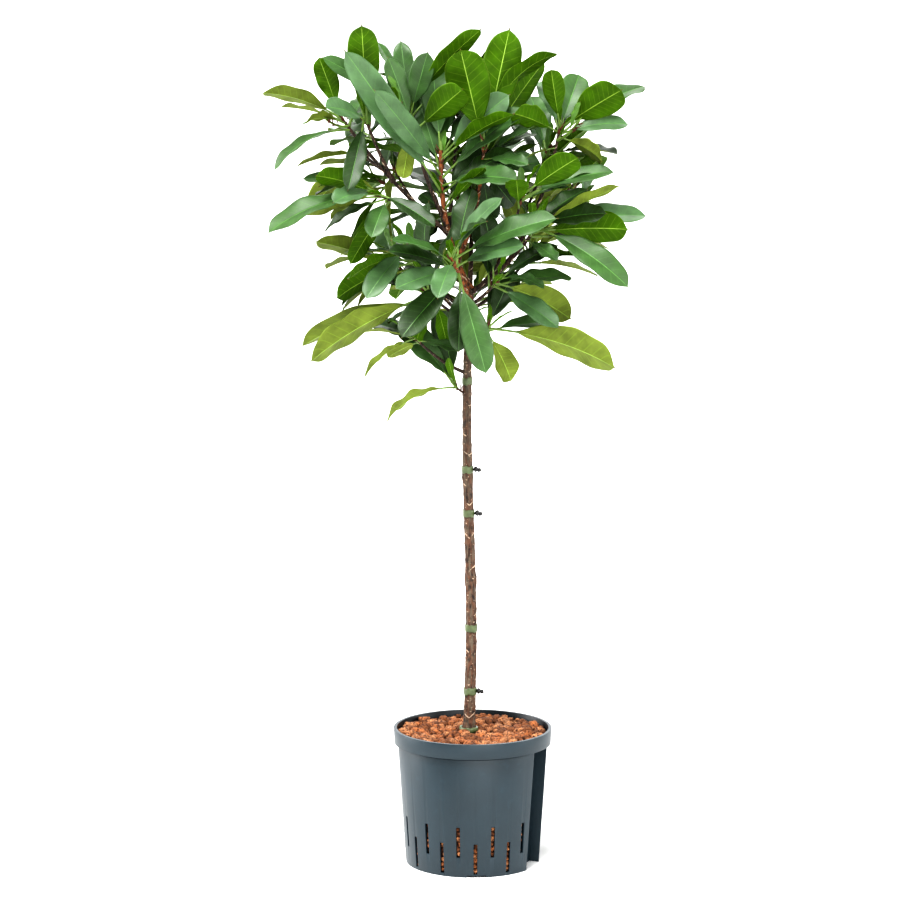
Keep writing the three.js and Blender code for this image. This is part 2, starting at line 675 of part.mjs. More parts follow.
// Leaves set round the end of a shoot by the golden angle, the outer ones more spread
function growLeaves(mass, shoot, count, random) {
  const axis = shoot.curve.getTangent(1);
  const first = new THREE.Vector3(1, 0, 0).cross(axis).normalize();
  const second = axis.clone().cross(first);
  const phase = 360 * random();
  for (let i = 0; i < count; i += 1) {
    const share = (i + RULE_OFFSET) / count;
    const spread = rad(THREE.MathUtils.lerp(NARROW_SPREAD, WIDE_SPREAD, share));
    const length = LEAF_LENGTH * varied(random, LEAF_VARIATION);
    const normal = axis.clone().add(UP);
    const foot = shoot.curve.getPoint(1 - shoot.leafy * share);
    TURNS.some((aside) => {
      const turn = rad(phase + i * GOLDEN_ANGLE + aside);
      const direction = axis.clone().multiplyScalar(Math.cos(spread))
        .addScaledVector(first, Math.sin(spread) * Math.cos(turn))
        .addScaledVector(second, Math.sin(spread) * Math.sin(turn));
      return tryLeaf(mass, makeLeaf(foot, direction, length, normal), false);
    });
  }
}

const limbs = { trunk };

// Lays a mass's bough and stem out along one curve that ends at its bud
function layOut(row) {
  const parent = limbs[row.from];
  const foot = parent.curve.getPoint(row.at * parent.end);
  const bud = new THREE.Vector3(...row.bud);
  const curve = bowedCurve(foot, bud, new THREE.Vector3(...row.bow));
  const length = curveLength(curve);
  const end = row.stem > 0 ? 1 - row.stem / length : 0;
  const radiusAt = (t) => row.radius * (1 - LIMB_TAPER * t);
  const mass = { ...row, curve, length, end, bud, radiusAt, parent, leaves: [], grown: [] };
  mass.leafy = row.leafy / length;
  limbs[row.name] = mass;
  taken.add(limbPoints(mass, 0, 1), row.name);
  return mass;
}

function growChosen(mass) {
  for (const [rows, sign] of [[mass.toward, -1], [mass.away, 1]]) {
    rows.forEach((row, i) => {
      const t = 1 - (mass.leafy * (i + CHOSEN_OFFSET)) / rows.length;
      const foot = mass.curve.getPoint(t);
      const [across, up, length, ...rest] = row;
      STRETCHES.some((stretch) => (
        tryLeaf(mass, chosenLeaf(foot, [across, up, length * stretch, ...rest], sign), true)));
    });
  }
}

// Side twigs leave the stem by the golden angle, and each ends in a tuft of leaves
function growByRule(mass, index) {
  const random = seededRandom(index + FOLIAGE_SEED);
  growLeaves(mass, mass, mass.more, random);
  const phase = 360 * random();
  for (let i = 0; i < mass.twigs; i += 1) {
    const t = THREE.MathUtils.lerp(mass.end, 1, (i + TWIG_OFFSET) / mass.twigs);
    const axis = mass.curve.getTangent(t);
    const first = new THREE.Vector3(1, 0, 0).cross(axis).normalize();
    const second = axis.clone().cross(first);
    const turn = rad(phase + i * GOLDEN_ANGLE);
    const spread = rad(TWIG_SPREAD);
    const direction = axis.clone().multiplyScalar(Math.cos(spread))
      .addScaledVector(first, Math.sin(spread) * Math.cos(turn))
      .addScaledVector(second, Math.sin(spread) * Math.sin(turn));
    const foot = mass.curve.getPoint(t);
    const length = TWIG_LENGTH * varied(random, TWIG_VARIATION);
    const tip = foot.clone().addScaledVector(direction, length);
    const curve = bowedCurve(foot, tip, new THREE.Vector3(0, 0, -TWIG_SAG * length));
    const twig = { curve, length, radiusAt: () => TWIG_RADIUS, leafy: TWIG_LEAFY_SHARE };
    const root = limbPoints(twig, 0, TWIG_ROOT_SHARE);
    const skin = limbPoints(twig, TWIG_ROOT_SHARE, 1);
    const isFree = taken.isClear(skin, mass.name, OWN_CLEARANCE) && taken.isClear(root, mass.name, 0);
    if (inCrown(tip) && isFree) {
      taken.add([...root, ...skin], mass.name);
      mass.grown.push(twig);
      growLeaves(mass, twig, LEAVES_PER_TWIG, random);
    }
  }
}

// The stretch of the parent that a limb's foot meets, thicker by the clearance
function parentCut(mass) {
  const { parent } = mass;
  const middle = mass.at * parent.end;
  const reach = CUT_REACH / parent.length;
  const low = Math.max(middle - reach / 2, 0);
  const high = Math.min(middle + reach, 1);
  return limbSolid(parent, low, high, CUT_SIDES, BOUGH_STEPS, CLEARANCE);
}

function makeBough(mass) {
  if (mass.end <= 0) return;
  const bough = limbSolid(mass, 0, mass.end, BOUGH_SIDES, BOUGH_STEPS).subtract(parentCut(mass));
  addMesh(`bough_${mass.name}`, toGeometry(bough), 'bark');
}

function makeFoliage(mass) {
  const start = mass.end > 0 ? mass.end + CLEARANCE / mass.length : 0;
  let solid = limbSolid(mass, start, 1, STEM_SIDES, STEM_STEPS);
  for (const twig of mass.grown) solid = solid.add(limbSolid(twig, 0, 1, TWIG_SIDES, TWIG_STEPS));
  for (const leaf of mass.leaves) solid = solid.add(leafSolid(leaf));
  if (mass.end <= 0) solid = solid.subtract(parentCut(mass));
  addMesh(`foliage_${mass.name}`, toGeometry(solid), 'foliage');
}

makePot();
makeGranules();
addMesh('trunk', toGeometry(limbSolid(trunk, 0, 1, trunk.sides, trunk.steps)), 'bark');
makeTies();
taken.add(limbPoints(trunk, 0, 1), 'trunk');
const masses = MASSES.map(layOut);
masses.forEach(growChosen);
masses.forEach(growByRule);
masses.forEach(makeBough);
masses.forEach(makeFoliage);

export default part;
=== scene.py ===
"""Dresses a potted standard fig: a slotted culture pot full of clay granules, a ringed trunk with soft
ties, and a round crown of leathery leaves. The crown grows from the same limbs, by the same seeded rule
and to the same reach as the solids that it replaces, and is carried on to finer leaves and buds."""

import functools
import json
import math
from collections import namedtuple

import bmesh
import bpy
import numpy as np
from bpy.props import FloatProperty, FloatVectorProperty, IntProperty, PointerProperty
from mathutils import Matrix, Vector, noise

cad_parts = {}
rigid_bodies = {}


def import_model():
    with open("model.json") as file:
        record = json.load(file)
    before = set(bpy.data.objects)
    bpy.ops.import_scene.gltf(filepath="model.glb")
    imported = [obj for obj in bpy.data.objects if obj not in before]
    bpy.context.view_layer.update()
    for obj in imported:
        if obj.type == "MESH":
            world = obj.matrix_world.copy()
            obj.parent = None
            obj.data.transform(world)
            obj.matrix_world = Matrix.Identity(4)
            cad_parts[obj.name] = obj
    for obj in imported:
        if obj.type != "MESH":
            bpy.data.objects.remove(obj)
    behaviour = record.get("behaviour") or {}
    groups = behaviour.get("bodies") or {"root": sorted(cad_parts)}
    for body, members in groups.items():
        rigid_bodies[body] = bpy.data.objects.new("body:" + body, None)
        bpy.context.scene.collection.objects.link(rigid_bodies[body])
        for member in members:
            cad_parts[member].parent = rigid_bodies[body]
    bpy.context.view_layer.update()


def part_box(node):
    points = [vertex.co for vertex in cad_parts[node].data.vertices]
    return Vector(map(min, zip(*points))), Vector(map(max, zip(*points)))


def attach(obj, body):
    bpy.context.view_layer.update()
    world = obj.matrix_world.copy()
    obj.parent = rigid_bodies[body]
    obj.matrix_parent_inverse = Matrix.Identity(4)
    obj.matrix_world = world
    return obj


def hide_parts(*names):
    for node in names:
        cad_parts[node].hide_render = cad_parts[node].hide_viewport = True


bl_info = {
    "name": "Potted standard fig",
    "version": (1, 0, 0),
    "blender": (4, 5, 0),
    "location": "3D View > Sidebar > Fig",
    "description": "Models and finishes the pot, granules, trunk, shoots and leaves of a potted standard fig",
    "category": "Object",
}

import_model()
POT_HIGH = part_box("pot")[1]
MM = 0.001
BODY = "root"


def linear(hex_colour):
    """A colour written as sRGB hex, turned to linear light, with an alpha of one."""
    channels = [int(hex_colour[i:i + 2], 16) / 255 for i in (1, 3, 5)]
    return tuple(c / 12.92 if c <= 0.04045 else ((c + 0.055) / 1.055) ** 2.4 for c in channels) + (1.0,)


def length_setting(name, description, metres):
    """A length that a user may change, shown in the scene's unit."""
    return FloatProperty(name=name, description=description, default=metres, min=0, unit="LENGTH")


def share_setting(name, description, share):
    """A plain factor that a user may change."""
    return FloatProperty(name=name, description=description, default=share, min=0, subtype="FACTOR")


def colour_setting(name, description, hex_colour):
    """A colour that a user may change."""
    return FloatVectorProperty(
        name=name, description=description, default=linear(hex_colour), size=4, min=0, max=1, subtype="COLOR")


class FigPotSizes(bpy.types.PropertyGroup):
    """Sizes of the culture pot."""

    rim_radius: length_setting("Rim radius", "Outer radius of the collar at the rim", POT_HIGH[0])
    height: length_setting("Height", "Height of the pot", POT_HIGH[2])
    collar_height: length_setting("Collar height", "Height of the collar below the rim", 0.021)
    collar_thickness: length_setting("Collar thickness", "Thickness of the collar's wall", 0.0045)
    body_top_radius: length_setting("Body top radius", "Radius of the body under the collar", 0.104)
    body_foot_radius: length_setting("Body foot radius", "Radius of the body at the foot", 0.093)
    wall: length_setting("Wall", "Thickness of the body's wall and floor", 0.0025)
    undercut: length_setting("Undercut", "Size of the small step under the collar", 0.002)
    edge: length_setting("Edge", "Rounding of the moulded edges", 0.0007)
    groove_width: length_setting("Groove width", "Width of the groove for a water gauge", 0.048)
    groove_floor: length_setting("Groove floor", "Distance of the groove's floor from the pot's axis", 0.076)
    groove_heading: FloatProperty(
        name="Groove heading", description="Turn of the groove from the right side to the back",
        default=math.radians(-22.5), subtype="ANGLE")
    slot_width: length_setting("Slot width", "Width of a drain slot", 0.0052)
    slot_length: length_setting("Slot length", "Length of a drain slot", 0.043)
    high_slot_foot: length_setting("High slot foot", "Height of the foot of the upper slots", 0.028)
    low_slot_foot: length_setting("Low slot foot", "Height of the foot of the lower slots", 0.0045)
    high_slots: IntProperty(name="High slots", description="Number of upper slots", default=12, min=2)


class FigGranuleSizes(bpy.types.PropertyGroup):
    """Sizes of the clay granules."""

    level: length_setting("Fill level", "Height of the middle of the top layer", 0.181)
    size: length_setting("Granule size", "Mean width of a granule", 0.0128)
    spacing: length_setting("Spacing", "Distance between the granules of a layer", 0.0116)
    seed: IntProperty(name="Seed", description="Seed of the granules' shapes and places", default=5, min=0)


class FigTrunkSizes(bpy.types.PropertyGroup):
    """Sizes of the trunk."""

    foot_radius: length_setting("Foot radius", "Radius above the root flare", 0.0082)
    top_radius: length_setting("Top radius", "Radius where the trunk forks", 0.0054)
    flare: length_setting("Root flare", "How much wider the foot is than the trunk above it", 0.0032)
    flare_height: length_setting("Flare height", "Height in which the flare dies out", 0.012)
    sway: length_setting("Sway", "How far the trunk leans to each side of its middle", 0.0031)
    relief: length_setting("Bark relief", "Depth of the bark's ridges", 0.00055)


class FigLeafSizes(bpy.types.PropertyGroup):
    """Sizes of the leaves and shoots."""

    length: length_setting("Leaf length", "Mean length of a leaf with its stalk", 0.122)
    variation: share_setting("Variation", "Spread of the leaf lengths as a share of the mean", 0.3)
    width_share: share_setting("Width share", "Width of a leaf as a share of its length", 0.34)
    fold: share_setting("Fold", "Rise of a leaf's edges for their distance from its midrib", 0.2)
    bend: FloatProperty(
        name="Bend", description="How far a leaf bends down from foot to tip",
        default=math.radians(26), subtype="ANGLE")
    thickness: length_setting("Leaf thickness", "Thickness of a blade", 0.0008)
    twig_length: length_setting("Twig length", "Mean length of a side twig", 0.044)
    twig_radius: length_setting("Twig radius", "Radius of a side twig", 0.0017)
    seed: IntProperty(name="Seed", description="Seed of the shoots and leaves", default=26, min=0)


class FigColours(bpy.types.PropertyGroup):
    """Colours of the finishes."""

    pot: colour_setting("Pot", "Blue-grey polypropylene", "#172830")
    clay: colour_setting("Clay", "Fired clay of the granules", "#8a5632")
    clay_dust: colour_setting("Clay dust", "Pale dust on broken granules", "#9c6c49")
    # Painted shade: the dark colour of the gaps between the granules, also used for their pores
    clay_gap_shade: colour_setting("Clay in the gaps", "Painted shade between the granules and in their pores", "#3a1c10")
    bark: colour_setting("Bark", "Brown bark of the trunk", "#4a3122")
    bark_grey: colour_setting("Grey bark", "Weathered streaks of the bark", "#5c5042")
    shoot_dark: colour_setting("Dark shoot", "Dark brown bark of side boughs", "#34241a")
    bark_scar: colour_setting("Scars", "Pale leaf scars and lenticels", "#b9a28c")
    shoot: colour_setting("Shoot", "Orange-brown bark of young boughs", "#70401f")
    stalk: colour_setting("Leaf stalk", "Stalks and green twigs", "#66803a")
    bud: colour_setting("Bud scale", "Brown papery bud scales", "#5c3420")
    tie: colour_setting("Tie", "Sage-green soft ties", "#4f5a3a")
    clip: colour_setting("Clip", "Black knobs on the ties' tails", "#141414")
    # Painted shade: the dark upper face of leaves inside the crown
    leaf_deep: colour_setting("Deep leaf", "Upper face in painted shade inside the crown", "#1f390b")
    leaf_blue: colour_setting("Blue-green leaf", "Upper face of leaves in full light", "#47653e")
    leaf_mid: colour_setting("Middle leaf", "Upper face of most leaves", "#385827")
    leaf_fresh: colour_setting("Fresh leaf", "Upper face of the youngest leaves", "#4d7226")
    # Painted shade and painted light: the dark and the light underside are shaded and lit copies of one
    # underside
    under_in_shade: colour_setting("Dark underside", "Underside in painted shade", "#3f6003")
    under_lit: colour_setting("Light underside", "Underside in painted light", "#6a7832")
    midrib: colour_setting("Midrib", "Pale midrib of an underside", "#8cab3c")
    midrib_above: colour_setting("Upper midrib", "Midrib of an upper face", "#588440")
    floor: colour_setting("Floor", "Pale studio floor", "#e6e6e5")


# The growth rule, in millimetres and degrees, with the values of the solids. Those that they don't have
# are the clearances and the shifts in depth of the leaves that show, and how far back the others keep.
SEEN_CLEARANCE = 2.2
SEEN_OWN_CLEARANCE = 1.6
DEPTHS = (0, -10, 10, -20, 20, -30, 30)
FRONT_LIMIT = -42
TRUNK_FOOT = 177
TRUNK_FOOT_GAP = 0.3
TRUNK_TOP = 800
TRUNK_X = -5.2
SWAY_PEAK = 330
SWAY_LENGTH = 585
KNOT_HEIGHTS = (398, 541)
KNOT_SWELL = 1.3
KNOT_REACH = 9
LIMB_TAPER = 0.4
SAMPLE_SIDES = 6
SAMPLE_STEP = 6
SAMPLE_STATIONS = 16
SAMPLES_ACROSS = 3
LEAF_ROOT_SHARE = 0.06
LEAF_CROWDED_SHARE = 0.35
TWIG_ROOT_SHARE = 0.3
TWIG_VARIATION = 0.4
TWIG_SPREAD = 52
TWIG_SAG = 0.08
TWIG_OFFSET = 0.6
TWIG_LEAFY_SHARE = 0.5
LEAVES_PER_TWIG = 5
TURNS = (0, 28, -28, 56, -56)
BLADE_START = 0.2
BLADE_SKEW = 1.4
BLADE_FULLNESS = 0.75
NARROW_SPREAD = 38
WIDE_SPREAD = 92
GOLDEN_ANGLE = 137.508
RULE_OFFSET = 0.5
OWN_SPACE = 215
CROWN_CENTRE = np.array([-18, 6, 915])
CROWN_RADII = np.array([238, 250, 240])
LEAF_CLEARANCE = 6.5
OWN_CLEARANCE = 3.5
NUDGE = 1e-4
UP = np.array([0.0, 0.0, 1.0])
BACK = np.array([0.0, 1.0, 0.0])
RIGHT = np.array([1.0, 0.0, 0.0])

# Each mass of foliage grows from one stem, and these are the limbs of the solids. The bough starts at a
# share of its parent's length and the stem carries on from it to the bud. bow is how far the middle is off
# the straight line, leafy the length of stem that carries leaves, and more the number of leaves that the
# rule adds there. The leaf rows place the leaves that show, more finely than those of the solids. They
# hold how far down the leafy end the foot lies, where the tip is, how far the upper face tilts to the
# front, the bend, and the width as a share of the usual one.
Mass = namedtuple("Mass", "name parent at bud bow stem radius leafy more twigs leaves", defaults=(7, 2, ()))
MASSES = [
    Mass("leader", "trunk", 1, (-44, 0, 990), (-11, 0, -12), 88, 4.6, 86, 5, 1, [
        (0.35, -133, -85, 1073, 72, 30, 0.62), (0.6, -174, -60, 1126, 75, 25, 0.55),
        (0.05, -56, 30, 1111, 80, 20, 1),
        (0.1, 50, -20, 1065, 65, 30, 1.05),
        (0.15, 54, -75, 1040, -25, 30, 0.8), (0.4, 74, -40, 1046, 35, 25, 0.9),
        (0.85, 16, -75, 969, -30, 20, 0.6), (0.6, 57, -40, 989, 40, 25, 1),
        (0.5, 60, -60, 952, 40, 35, 1), (0.3, -76, 45, 1060, 70, 25, 0.9),
        (0.95, 8, 45, 908, 70, 20, 1.3), (0.8, 20, 50, 992, 60, 25, 1.2), (0.9, -72, 50, 928, 70, 25, 1.1)]),
    Mass("left_top", "leader", 0.84, (-181, -20, 1038), (-6, 0, -4), 50, 3.2, 26, 3, 1, [
        (0.35, -283, -62, 1067, -35, 40, 1), (0.1, -208, -20, 1115, -75, 20, 1.15),
        (0.5, -262, 10, 1047, -12, 25, 0.9), (0.6, -224, -90, 1027, -50, 50, 0.9),
        (1, -268, -48, 962, 12, 60, 0.95)]),
    Mass("left_high", "left_top", 0.6, (-147, -26, 1036), (0, -2, -4), 44, 2.8, 34, 3, 0, [
        (0.3, -149, -60, 1158, -85, 15, 1),
        (0.2, -197, -110, 1049, 60, 30, 1.1), (0.05, -167, -105, 938, 108, 25, 0.7)]),
    Mass("left_inner", "leader", 0.94, (-89, 15, 1060), (-8, 0, 0), 88, 3, 66, 2, 1, [
        (0.75, -14, -85, 1073, -80, 15, 1.05), (0.3, -205, -40, 1115, 60, 20, 0.6),
        (0.5, -99, 40, 1137, 70, 20, 0.8),
        (0.4, -61, -10, 1122, 75, 20, 1.1), (0.2, 11, -50, 1152, -35, 25, 0.6),
        (0.6, -95, -50, 952, -80, 20, 0.8), (0.7, -116, 30, 1115, 50, 20, 0.9),
        (0.8, -132, 45, 1136, 0, 25, 0.8)]),
    Mass("left_mid", "left_top", 0.32, (-134, -52, 936), (0, 0, -4), 44, 2.6, 30, 0, 0, [
        (0.3, -276, -85, 880, 25, 45, 0.9), (0.6, -231, -20, 901, -40, 35, 0.95),
        (0.1, -186, -125, 924, 45, 35, 1.1), (0.5, -210, -95, 959, -55, 30, 1.1),
        (0.8, -136, -100, 876, 60, 25, 1.2), (0.2, -50, -95, 890, 40, 30, 0.85),
        (0.9, -190, -20, 950, -40, 25, 1), (1, -167, -40, 836, -70, 25, 0.8),
        (1, -162, 0, 856, -60, 25, 0.8)]),
    Mass("left_low", "trunk", 0.95, (-93, -15, 862), (-6, 0, -6), 70, 2.8, 40, 2, 1, [
        (0.7, -186, -40, 790, -50, 40, 1.15), (0.4, -168, -85, 820, -40, 35, 1),
        (0.15, -144, -95, 794, 50, 30, 0.95), (0.9, -159, -20, 775, -15, 50, 0.8)]),
    Mass("left_under", "trunk", 0.93, (-64, -36, 802), (0, 0, -5), 44, 2.6, 30, 3, 0, [
        (0.3, -221, -70, 707, -45, 30, 0.95), (0.8, -238, 10, 718, -30, 35, 0.8),
        (0.5, -76, -80, 738, -60, 30, 1.1), (0.6, -36, -50, 731, -60, 30, 1.1)]),
    Mass("low_left", "trunk", 0.815, (-84, -34, 742), (0, 0, -7), 34, 2.5, 24, 0, 0, [
        (0.3, -148, -55, 684, -25, 45, 1), (0.6, -118, 10, 705, -60, 30, 1.1),
        (0.5, -167, 10, 737, -10, 40, 0.9), (0.5, -20, -60, 722, 30, 30, 0.9)]),
    Mass("trunk_leaf", "trunk", 0.768, (-24, -14, 668), (0, 0, -1), 0, 1.9, 4, 0, 0, [
        (0.5, -118, -45, 623, -30, 62, 0.95)]),
    Mass("low_right", "trunk", 0.885, (22, -35, 752), (0, 0, -4), 0, 2.4, 16, 2, 0, [
        (0.2, 191, -100, 702, -55, 38, 0.95), (0.5, 51, -85, 683, -65, 35, 1.2)]),
    Mass("right_low", "trunk", 0.965, (34, -46, 818), (0, 0, -4), 28, 2.8, 26, 4, 0, [
        (0.1, 95, -85, 807, 20, 60, 1), (0.3, 134, -30, 761, -60, 45, 1.25),
        (0.5, 115, -85, 754, 45, 25, 0.95)]),
    Mass("right", "trunk", 0.992, (87, -22, 890), (6, 0, -5), 46, 3.4, 30, 4, 1, [
        (0.2, 209, -75, 807, 50, 50, 0.82), (0.4, 209, -55, 885, -75, 35, 1.1),
        (0.5, 240, 30, 898, 35, 30, 0.9), (0.1, 180, -50, 906, 50, 35, 1.1),
        (0.15, 197, -60, 944, -20, 10, 0.8), (0.9, 112, -85, 844, 40, 25, 0.9)]),
    Mass("right_mid", "right", 0.6, (66, -60, 934), (0, -4, -4), 34, 2.5, 24, 4, 0, [
        (0.1, 138, -115, 984, -70, 20, 1.2), (0.9, 56, -125, 955, -60, 20, 1.2),
        (0.3, 190, -60, 962, 35, 35, 0.9), (0.5, 134, -30, 940, 10, 30, 0.9)]),
    Mass("centre", "leader", 0.45, (14, -24, 1004), (8, 0, -8), 66, 3.2, 40, 5, 1, [
        (0.2, -18, -60, 1126, -88, 12, 1.35), (0.3, 49, -12, 1154, -88, 15, 1),
        (0.15, 115, -40, 1119, -30, 95, 0.6), (0.4, 99, 30, 1111, -50, 20, 0.8),
        (0.6, 74, -75, 972, 40, 30, 1), (0.9, 56, 20, 912, 70, 20, 1.3),
        (0.8, 94, 30, 968, 60, 25, 1.2), (0.95, 24, 30, 890, 75, 20, 1.2)]),
    Mass("right_top", "right", 0.74, (117, -10, 1022), (10, 4, -4), 48, 3, 30, 4, 1, [
        (0.1, 197, -80, 1072, -75, 15, 1.35), (0.05, 103, -55, 1099, -85, 15, 1.05),
        (0.3, 53, -60, 1040, -60, 30, 1.4), (0.5, 238, 60, 1074, 25, 35, 0.85),
        (0.4, 212, 20, 1023, 45, 40, 1), (0.5, 172, -60, 976, -60, 45, 1.1),
        (0.3, 145, 40, 1091, 80, 35, 1.3), (1, 58, -50, 971, -15, 30, 0.8)]),
    Mass("front", "trunk", 0.98, (-31, -86, 852), (4, -4, -8), 58, 3.6, 50, 0, 0, [
        (0.3, -110, -125, 875, 25, 35, 1), (0.5, -105, -130, 811, 50, 25, 1.1),
        (0.2, -48, -160, 800, 60, 45, 1.1), (0.6, 17, -125, 696, 80, 25, 0.82),
        (0.8, -20, -112, 724, 90, 20, 0.9), (0.7, -97, -120, 744, 45, 25, 1.05),
        (0.15, 112, -120, 904, 40, 30, 0.85), (0.4, 68, -130, 868, 50, 35, 0.95),
        (0.1, 39, -110, 931, 35, 40, 0.8), (0.05, 18, -135, 901, 30, 50, 0.9),
        (0.6, -116, -110, 860, 40, 30, 0.95)]),
    Mass("back", "trunk", 0.985, (0, 112, 930), (0, 8, -12), 60, 3.6, 34),
    Mass("back_top", "leader", 0.85, (-20, 84, 1044), (0, 10, -10), 60, 3, 34),
    Mass("back_left", "left_top", 0.2, (-112, 100, 966), (0, 10, -10), 56, 2.8, 34),
    Mass("back_left_low", "trunk", 0.93, (-92, 98, 852), (0, 8, -10), 54, 2.8, 34),
    Mass("back_right", "right", 0.25, (100, 100, 968), (4, 12, -10), 56, 2.8, 34),
    Mass("back_right_low", "trunk", 0.955, (84, 98, 852), (6, 8, -10), 54, 2.8, 34),
    Mass("back_low", "trunk", 0.9, (0, 80, 786), (0, 6, -8), 44, 2.6, 28),
    Mass("side_left", "left_top", 0.75, (-158, 56, 1000), (0, 8, -8), 40, 2.5, 28),
    Mass("side_right", "right_top", 0.3, (138, 54, 940), (6, 8, -8), 44, 2.5, 28),
]

# The masses whose leaves lie in front, at the left, at the right and at the back, for the leaf pieces
LEAF_GROUPS = {
    "leaves_front": ("front", "centre", "leader", "left_inner", "right_mid", "right_low", "low_right"),
    "leaves_left": ("left_top", "left_high", "left_mid", "left_low", "left_under", "low_left", "trunk_leaf",
                    "side_left"),
    "leaves_right": ("right", "right_top", "side_right", "back_right", "back_right_low"),
    "leaves_back": ("back", "back_top", "back_left", "back_left_low", "back_low"),
}

# How the scene carries the growth on: smaller leaves among the rest and young ones round each bud
FILL_LEAVES = 8
FILL_LENGTH = 0.92
FILL_CLEARANCE = 2.4
FILL_OWN_CLEARANCE = 1.8
FILL_REACH = 0.93
YOUNG_LEAVES = 2
YOUNG_LENGTH = 0.42
YOUNG_WIDTH = 0.62
YOUNG_SPREADS = (10, 30)


def unit(vector):
    """The vector's direction."""
    return vector / np.linalg.norm(vector)


def seeded_random(seed):
    """The same run of random shares for the same seed, as in the solids."""
    state = [(seed * 747796405) & 0xFFFFFFFF]

    def share():
        state[0] = (state[0] * 1664525 + 1013904223) & 0xFFFFFFFF
        return state[0] / 2**32

    return share


def varied(random, variation):
    """A factor near 1, up to half the variation more or less."""
    return 1 - variation * (0.5 - random())


def turns_round(count):
    """Angles evenly round a circle."""
    return 2 * np.pi * np.arange(count) / count


def off_axis(axis, turn, spread):
    """A direction that leans off an axis by spread and is turned round it, both in degrees."""
    turn, spread = math.radians(turn), math.radians(spread)
    first = unit(np.cross(RIGHT, axis))
    second = np.cross(axis, first)
    return (axis * math.cos(spread) + first * math.sin(spread) * math.cos(turn)
            + second * math.sin(spread) * math.sin(turn))


class BowedLine:
    """A limb's centre line from foot to tip, with its middle off the straight line."""

    def __init__(self, foot, tip, bow):
        self.foot, self.tip = foot, tip
        self.control = (foot + tip) / 2 + 2 * bow

    def point(self, t):
        return (1 - t) ** 2 * self.foot + 2 * (1 - t) * t * self.control + t**2 * self.tip

    def tangent(self, t):
        middle = (max(t - NUDGE, 0) + min(t + NUDGE, 1)) / 2
        return unit((1 - middle) * (self.control - self.foot) + middle * (self.tip - self.control))

    def length(self):
        points = [self.point(i / SAMPLE_STATIONS) for i in range(SAMPLE_STATIONS + 1)]
        return sum(np.linalg.norm(b - a) for a, b in zip(points, points[1:]))


class TrunkLine:
    """The trunk's centre line, which sways a little to each side."""

    def __init__(self, sizes):
        self.sway = sizes.sway / MM

    def point(self, t):
        height = TRUNK_FOOT + TRUNK_FOOT_GAP + t * (TRUNK_TOP - TRUNK_FOOT - TRUNK_FOOT_GAP)
        phase = 2 * math.pi * (height - SWAY_PEAK) / SWAY_LENGTH
        return np.array([TRUNK_X + self.sway * math.cos(phase), 0, height])

    def tangent(self, t):
        return unit(self.point(min(t + NUDGE, 1)) - self.point(max(t - NUDGE, 0)))


class Limb:
    """A trunk, bough with its stem, or twig: a centre line and the radius along it."""

    def __init__(self, line, length=0, radius_at=None, end=1, leafy=0):
        self.line, self.length, self.radius_at = line, length, radius_at
        self.end, self.leafy = end, leafy

    def ring(self, t, sides, radius):
        """Corners round the limb at t. radius is a number or one number for each corner."""
        along = self.line.tangent(t)
        side = unit(np.cross(BACK, along))
        front = np.cross(side, along)
        turns = turns_round(sides)
        out = np.cos(turns)[:, None] * side + np.sin(turns)[:, None] * front
        return self.line.point(t) + out * np.reshape(radius, (-1, 1))

    def points(self, t0, t1):
        """Points on the skin, for the test of what is near."""
        count = math.ceil((t1 - t0) * self.length / SAMPLE_STEP)
        shares = [t0 + (t1 - t0) * i / count for i in range(count + 1)]
        return np.vstack([self.ring(t, SAMPLE_SIDES, self.radius_at(t)) for t in shares])


def blade_outline(share):
    """Half of a blade's width as a share of the most, as in the solids."""
    along = np.clip((share - BLADE_START) / (1 - BLADE_START), 0, 1)
    return np.maximum(np.sin(np.pi * along**BLADE_SKEW), 0) ** BLADE_FULLNESS


class Leaf:
    """A leaf from its foot, its chord's direction and length, and the way its upper face looks."""

    def __init__(self, foot, direction, length, normal, sizes, bend=None, young=False, width=1):
        self.foot, self.direction, self.length, self.young = foot, direction, length, young
        self.face = unit(normal - normal.dot(direction) * direction)
        self.across = np.cross(direction, self.face)
        self.width = length * sizes.width_share * width
        self.fold = sizes.fold
        self.thickness = sizes.thickness / MM
        self.bend = sizes.bend if bend is None else math.radians(bend)

    def place(self, share, across, lift):
        """Points of the leaf: share runs from foot to tip, across from edge to edge, lift off its face."""
        half = self.bend / 2
        angle = half - 2 * half * share
        scale = self.length / (2 * math.sin(half))
        along = (math.sin(half) - np.sin(angle)) * scale
        rise = (np.cos(angle) - math.cos(half)) * scale + lift
        spread = [np.asarray(a)[..., None] for a in (along, rise, across)]
        return self.foot + spread[0] * self.direction + spread[1] * self.face + spread[2] * self.across

    def points(self, start, end):
        """Points over the blade, for the test of what is near."""
        share = np.linspace(start, end, SAMPLE_STATIONS + 1)[:, None]
        half = self.width / 2 * blade_outline(share)
        across = half * np.arange(-SAMPLES_ACROSS, SAMPLES_ACROSS + 1) / SAMPLES_ACROSS
        share = np.broadcast_to(share, across.shape)
        return self.place(share, across, np.abs(across) * self.fold).reshape(-1, 3)


class TakenSpace:
    """Points that are taken, and whose they are, so that a new leaf can be tested against them."""

    def __init__(self):
        self.points = np.zeros((0, 3))
        self.owners = np.zeros(0, int)

    def add(self, points, owner):
        self.points = np.vstack([self.points, points])
        self.owners = np.concatenate([self.owners, np.full(len(points), owner)])

    def is_clear(self, points, owner, room, own_room):
        near = np.all((self.points > points.min(0) - room) & (self.points < points.max(0) + room), axis=1)
        gaps = np.linalg.norm(points[:, None] - self.points[near][None], axis=2)
        own = self.owners[near] == owner
        return not (np.any(gaps[:, ~own] < room) or np.any(gaps[:, own] < own_room))


def in_crown(point, reach=1.0):
    """True inside the crown's outline, or inside the given share of it."""
    return np.linalg.norm((point - CROWN_CENTRE) / CROWN_RADII) < reach


